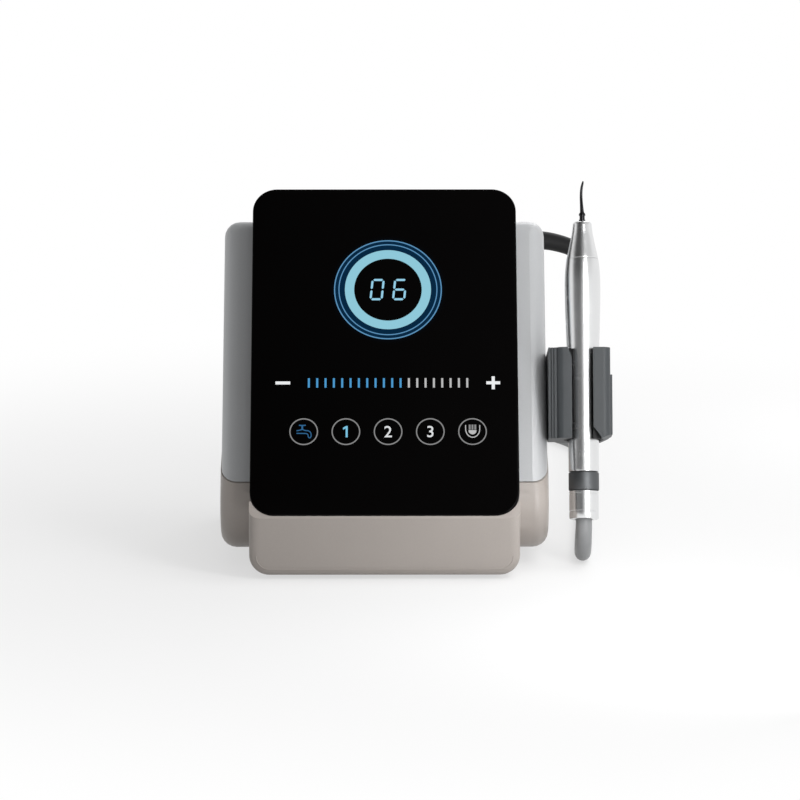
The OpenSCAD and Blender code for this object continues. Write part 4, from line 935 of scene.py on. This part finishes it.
class SCALER_OT_hose(bpy.types.Operator):
    """The hose from the gland through its coil to the handpiece, its boot and its tie"""
    bl_idname = "scaler.hose"
    bl_label = "Hose"

    def execute(self, context):
        look = context.scene.scaler_hose
        route = hose_route()
        length = sum((b - a).length for a, b in zip(route, route[1:]))
        hose = tube("hose", route, [HOSE_D / 2 * MM] * len(route), look.sides, (1, 0, 0))
        material = finish("hose_silicone", skin, "silicone", look.silicone, 0.44)
        settle(hose, material, None)
        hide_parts("hose_drop", "hose_coil", "hose_run")
        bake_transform(hose)
        self.boot()
        self.tie()
        return {"FINISHED"}

    def boot(self):
        """The strain relief: a tapered sleeve with rounded ribs."""
        path = smooth_path([Vector(p) * MM for p in BOOT_ROUTE], 10)
        lengths = [0.0]
        for a, b in zip(path, path[1:]):
            lengths.append(lengths[-1] + (b - a).length / MM)
        start, end, taper, groove, first, pitch = 5.4, lengths[-1], 1.45, 0.32, 7, 3.4
        radii = []
        for s in lengths:
            depth = 0.5 + 0.5 * math.cos(2 * math.pi * (s - first) / pitch) if first < s < end * 0.55 else 0
            radii.append((start - taper * s / end - groove * depth) * MM)
        boot = tube("hose_boot_sleeve", path, radii, 28, (1, 0, 0), 40)
        return stand_in(boot, slot_finish("boot_rubber"), "hose_boot")

    def tie(self):
        """The strap round the coil's bundle."""
        outer, inner, top = 52.2, 29.6, 16.0
        corner = Vector((COIL_CENTRE[0] - (outer + inner) / 2, COIL_CENTRE[1], (top + 0.4) / 2))
        loop = rounded_rectangle(outer - inner + 0.5, top - 0.4, 4.2, 8)
        section = [(-4.5, -0.3), (-4.2, -0.4), (4.2, -0.4), (4.5, -0.3),
                   (4.5, 0.3), (4.2, 0.4), (-4.2, 0.4), (-4.5, 0.3)]
        rings = []
        for i, (x, z) in enumerate(loop):
            way = (Vector(loop[(i + 1) % len(loop)]) - Vector(loop[i - 1])).normalized()
            rings.append([(corner + Vector((x + way.y * h, w, z - way.x * h))) * MM for w, h in section])
        strap = loft("coil_strap", rings, 40, capped=False)
        return stand_in(strap, slot_finish("boot_rubber"), "coil_tie")


# The studio

# Each lamp's place and aim, width and height in metres, and whether gloss shows it
CENTRE = (0, 0.06, 0.07)
LAMPS = {
    "key": ((0.17, -0.17, 0.15), (0, 0, 0.09), 0.06, 0.3, True),
    "front": ((0.11, -0.12, 0.2), (0.02, 0.03, 0.09), 0.1, 0.1, False),
    "top": ((0.25, 0.05, 0.45), (0.02, 0.05, 0.12), 0.25, 0.25, False),
    "rim": ((0.32, 0.32, 0.12), (0.07, 0.03, 0.08), 0.1, 0.1, False),
    "fill": ((-0.9, -0.7, 0.5), CENTRE, 0.8, 0.8, False),
    "back": ((0.3, 1.1, 0.9), CENTRE, 0.8, 0.8, True),
}
CAMERA_MIDDLE, CAMERA_AIM = Vector((0, 0.025, 0.095)), Vector((0.006975, 0.02034, 0.07308))
CAMERA_LENS, CAMERA_SENSOR = 190, 36


class StudioLook(bpy.types.PropertyGroup):
    """Camera and lamps."""
    distance: length_field("Distance", "Camera distance from the panel's middle", 1.9, 0.5, 6)
    elevation: FloatProperty(name="Elevation", description="Camera height as an angle over the horizon",
                             subtype="ANGLE", default=math.radians(12), min=0, max=1.4)
    key: power_field("Key lamp", "Power of the lamp on the right", 0.42)
    front: power_field("Front lamp", "Power of the lamp over the right front", 0.08)
    top: power_field("Top lamp", "Power of the lamp overhead", 0.6)
    rim: power_field("Rim lamp", "Power of the lamp behind on the right", 0.25)
    fill: power_field("Fill lamp", "Power of the lamp on the left", 0.7)
    back: power_field("Back lamp", "Power of the lamp behind", 4.5)


def aimed(piece, spot, aim):
    """Puts a lamp or the camera at a spot, looking at a point."""
    piece.location = spot
    piece.rotation_euler = (Vector(aim) - Vector(spot)).to_track_quat("-Z", "Y").to_euler()
    return piece


def lamp(name, watts, spot, aim, width, height, glossy):
    """A soft oblong lamp that looks at a point."""
    light = bpy.data.lights.new(name, "AREA")
    light.shape = "RECTANGLE"
    light.size, light.size_y = width, height
    light.energy = watts
    holder = aimed(linked(name, light), spot, aim)
    holder.visible_camera = False
    holder.visible_glossy = glossy


WHITE = {"Color": (1, 1, 1)}


def studio_world():
    """Pale surroundings; the camera, gloss and glass see white at the horizon and a darker ceiling."""
    world = bpy.data.worlds.new("studio")
    world.use_nodes = True
    bpy.context.scene.world = world
    sheet = Sheet(world.node_tree)
    x, y, z = sheet.where("Generated")
    light = sheet.add("ShaderNodeBackground", None,
                      {"Strength": z.ramp(-0.2, 0.9) * 0.25 + x.ramp(-0.6, 0.8) * 0.25 + 0.15, **WHITE})
    front = (0 - y).ramp(0.05, 0.25)
    flag = front * x.ramp(-0.96, -0.84) * (1 - x.ramp(-0.3, 0.12)) * z.ramp(0.08, 0.2)
    ceiling = z.ramp(0.3, 0.62) * (0.7 - x.ramp(0.12, 0.4) * 0.4)
    seen = sheet.add("ShaderNodeBackground", None, {"Strength": (1 - ceiling) * (1 - flag * 0.82), **WHITE})
    both = sheet.add("ShaderNodeMixShader", None,
                     {0: sheet.seen_directly(), 1: light.outputs[0], 2: seen.outputs[0]})
    sheet.add("ShaderNodeOutputWorld", None, {"Surface": both.outputs[0]})


def studio_floor():
    """A pale floor that keeps the object's shadow and turns plain white away from it."""
    floor = solid("floor", [(-6, -6, 0), (6, -6, 0), (6, 6, 0), (-6, 6, 0)], [(0, 1, 2, 3)])
    paint = Finish("floor_paint", (0.8, 0.8, 0.8), 0.9)
    x, y, _ = paint.where()
    reach = (x * x + (y - 0.08) * (y - 0.08)).root()
    glow = paint.add("ShaderNodeEmission", None, WHITE)
    seen = paint.seen_directly()
    paint.set("Base Color", paint.mix(seen, (0.5, 0.5, 0.5), (0.8, 0.8, 0.8)))
    both = paint.add("ShaderNodeMixShader", None, {0: seen * (reach.ramp(0.1, 0.45) * 0.4 + 0.6),
                                                   1: paint.shader.outputs[0], 2: glow.outputs[0]})
    paint.add("ShaderNodeOutputMaterial", {"is_active_output": True}, {"Surface": both.outputs[0]})
    floor.data.materials.append(paint.material)


class SCALER_OT_studio(bpy.types.Operator):
    """The floor, the lamps and the camera at the photograph's angle"""
    bl_idname = "scaler.studio"
    bl_label = "Studio"

    def execute(self, context):
        look = context.scene.scaler_studio
        scene = context.scene
        scene.view_settings.view_transform = "Standard"
        ahead = Vector((0, math.cos(look.elevation), -math.sin(look.elevation)))
        camera = linked("camera", bpy.data.cameras.new("camera"))
        aimed(camera, CAMERA_MIDDLE - ahead * look.distance, CAMERA_AIM)
        camera.data.lens = CAMERA_LENS
        camera.data.sensor_width = CAMERA_SENSOR
        scene.camera = camera
        studio_world()
        studio_floor()
        for name, setting in LAMPS.items():
            lamp(name, getattr(look, name), *setting)
        return {"FINISHED"}


OPERATORS = (SCALER_OT_studio, SCALER_OT_hose, SCALER_OT_housing, SCALER_OT_panel, SCALER_OT_holder,
             SCALER_OT_handpiece, SCALER_OT_sockets)


class SCALER_PT_sidebar(bpy.types.Panel):
    """Lists the scaler's operators and their settings"""
    bl_label = "Dental scaler"
    bl_space_type = "VIEW_3D"
    bl_region_type = "UI"
    bl_category = "Scaler"

    def draw(self, context):
        for operator in OPERATORS:
            self.layout.operator(operator.bl_idname)
        for name in GROUPS:
            group = getattr(context.scene, name)
            box = self.layout.box()
            for field in group.bl_rna.properties:
                if field.identifier not in ("rna_type", "name"):
                    box.prop(group, field.identifier)


GROUPS = {"scaler_panel": PanelLook, "scaler_housing": HousingLook, "scaler_hand": HandLook,
          "scaler_hose": HoseLook, "scaler_studio": StudioLook}


def register():
    for made in (*GROUPS.values(), *OPERATORS, SCALER_PT_sidebar):
        bpy.utils.register_class(made)
    for name, group in GROUPS.items():
        setattr(bpy.types.Scene, name, PointerProperty(type=group))


def unregister():
    for name in GROUPS:
        delattr(bpy.types.Scene, name)
    for made in (SCALER_PT_sidebar, *reversed(OPERATORS), *GROUPS.values()):
        bpy.utils.unregister_class(made)


def main():
    register()
    for operator in OPERATORS:
        getattr(bpy.ops.scaler, operator.bl_idname.split(".")[1])()


if __name__ == "__main__":
    main()
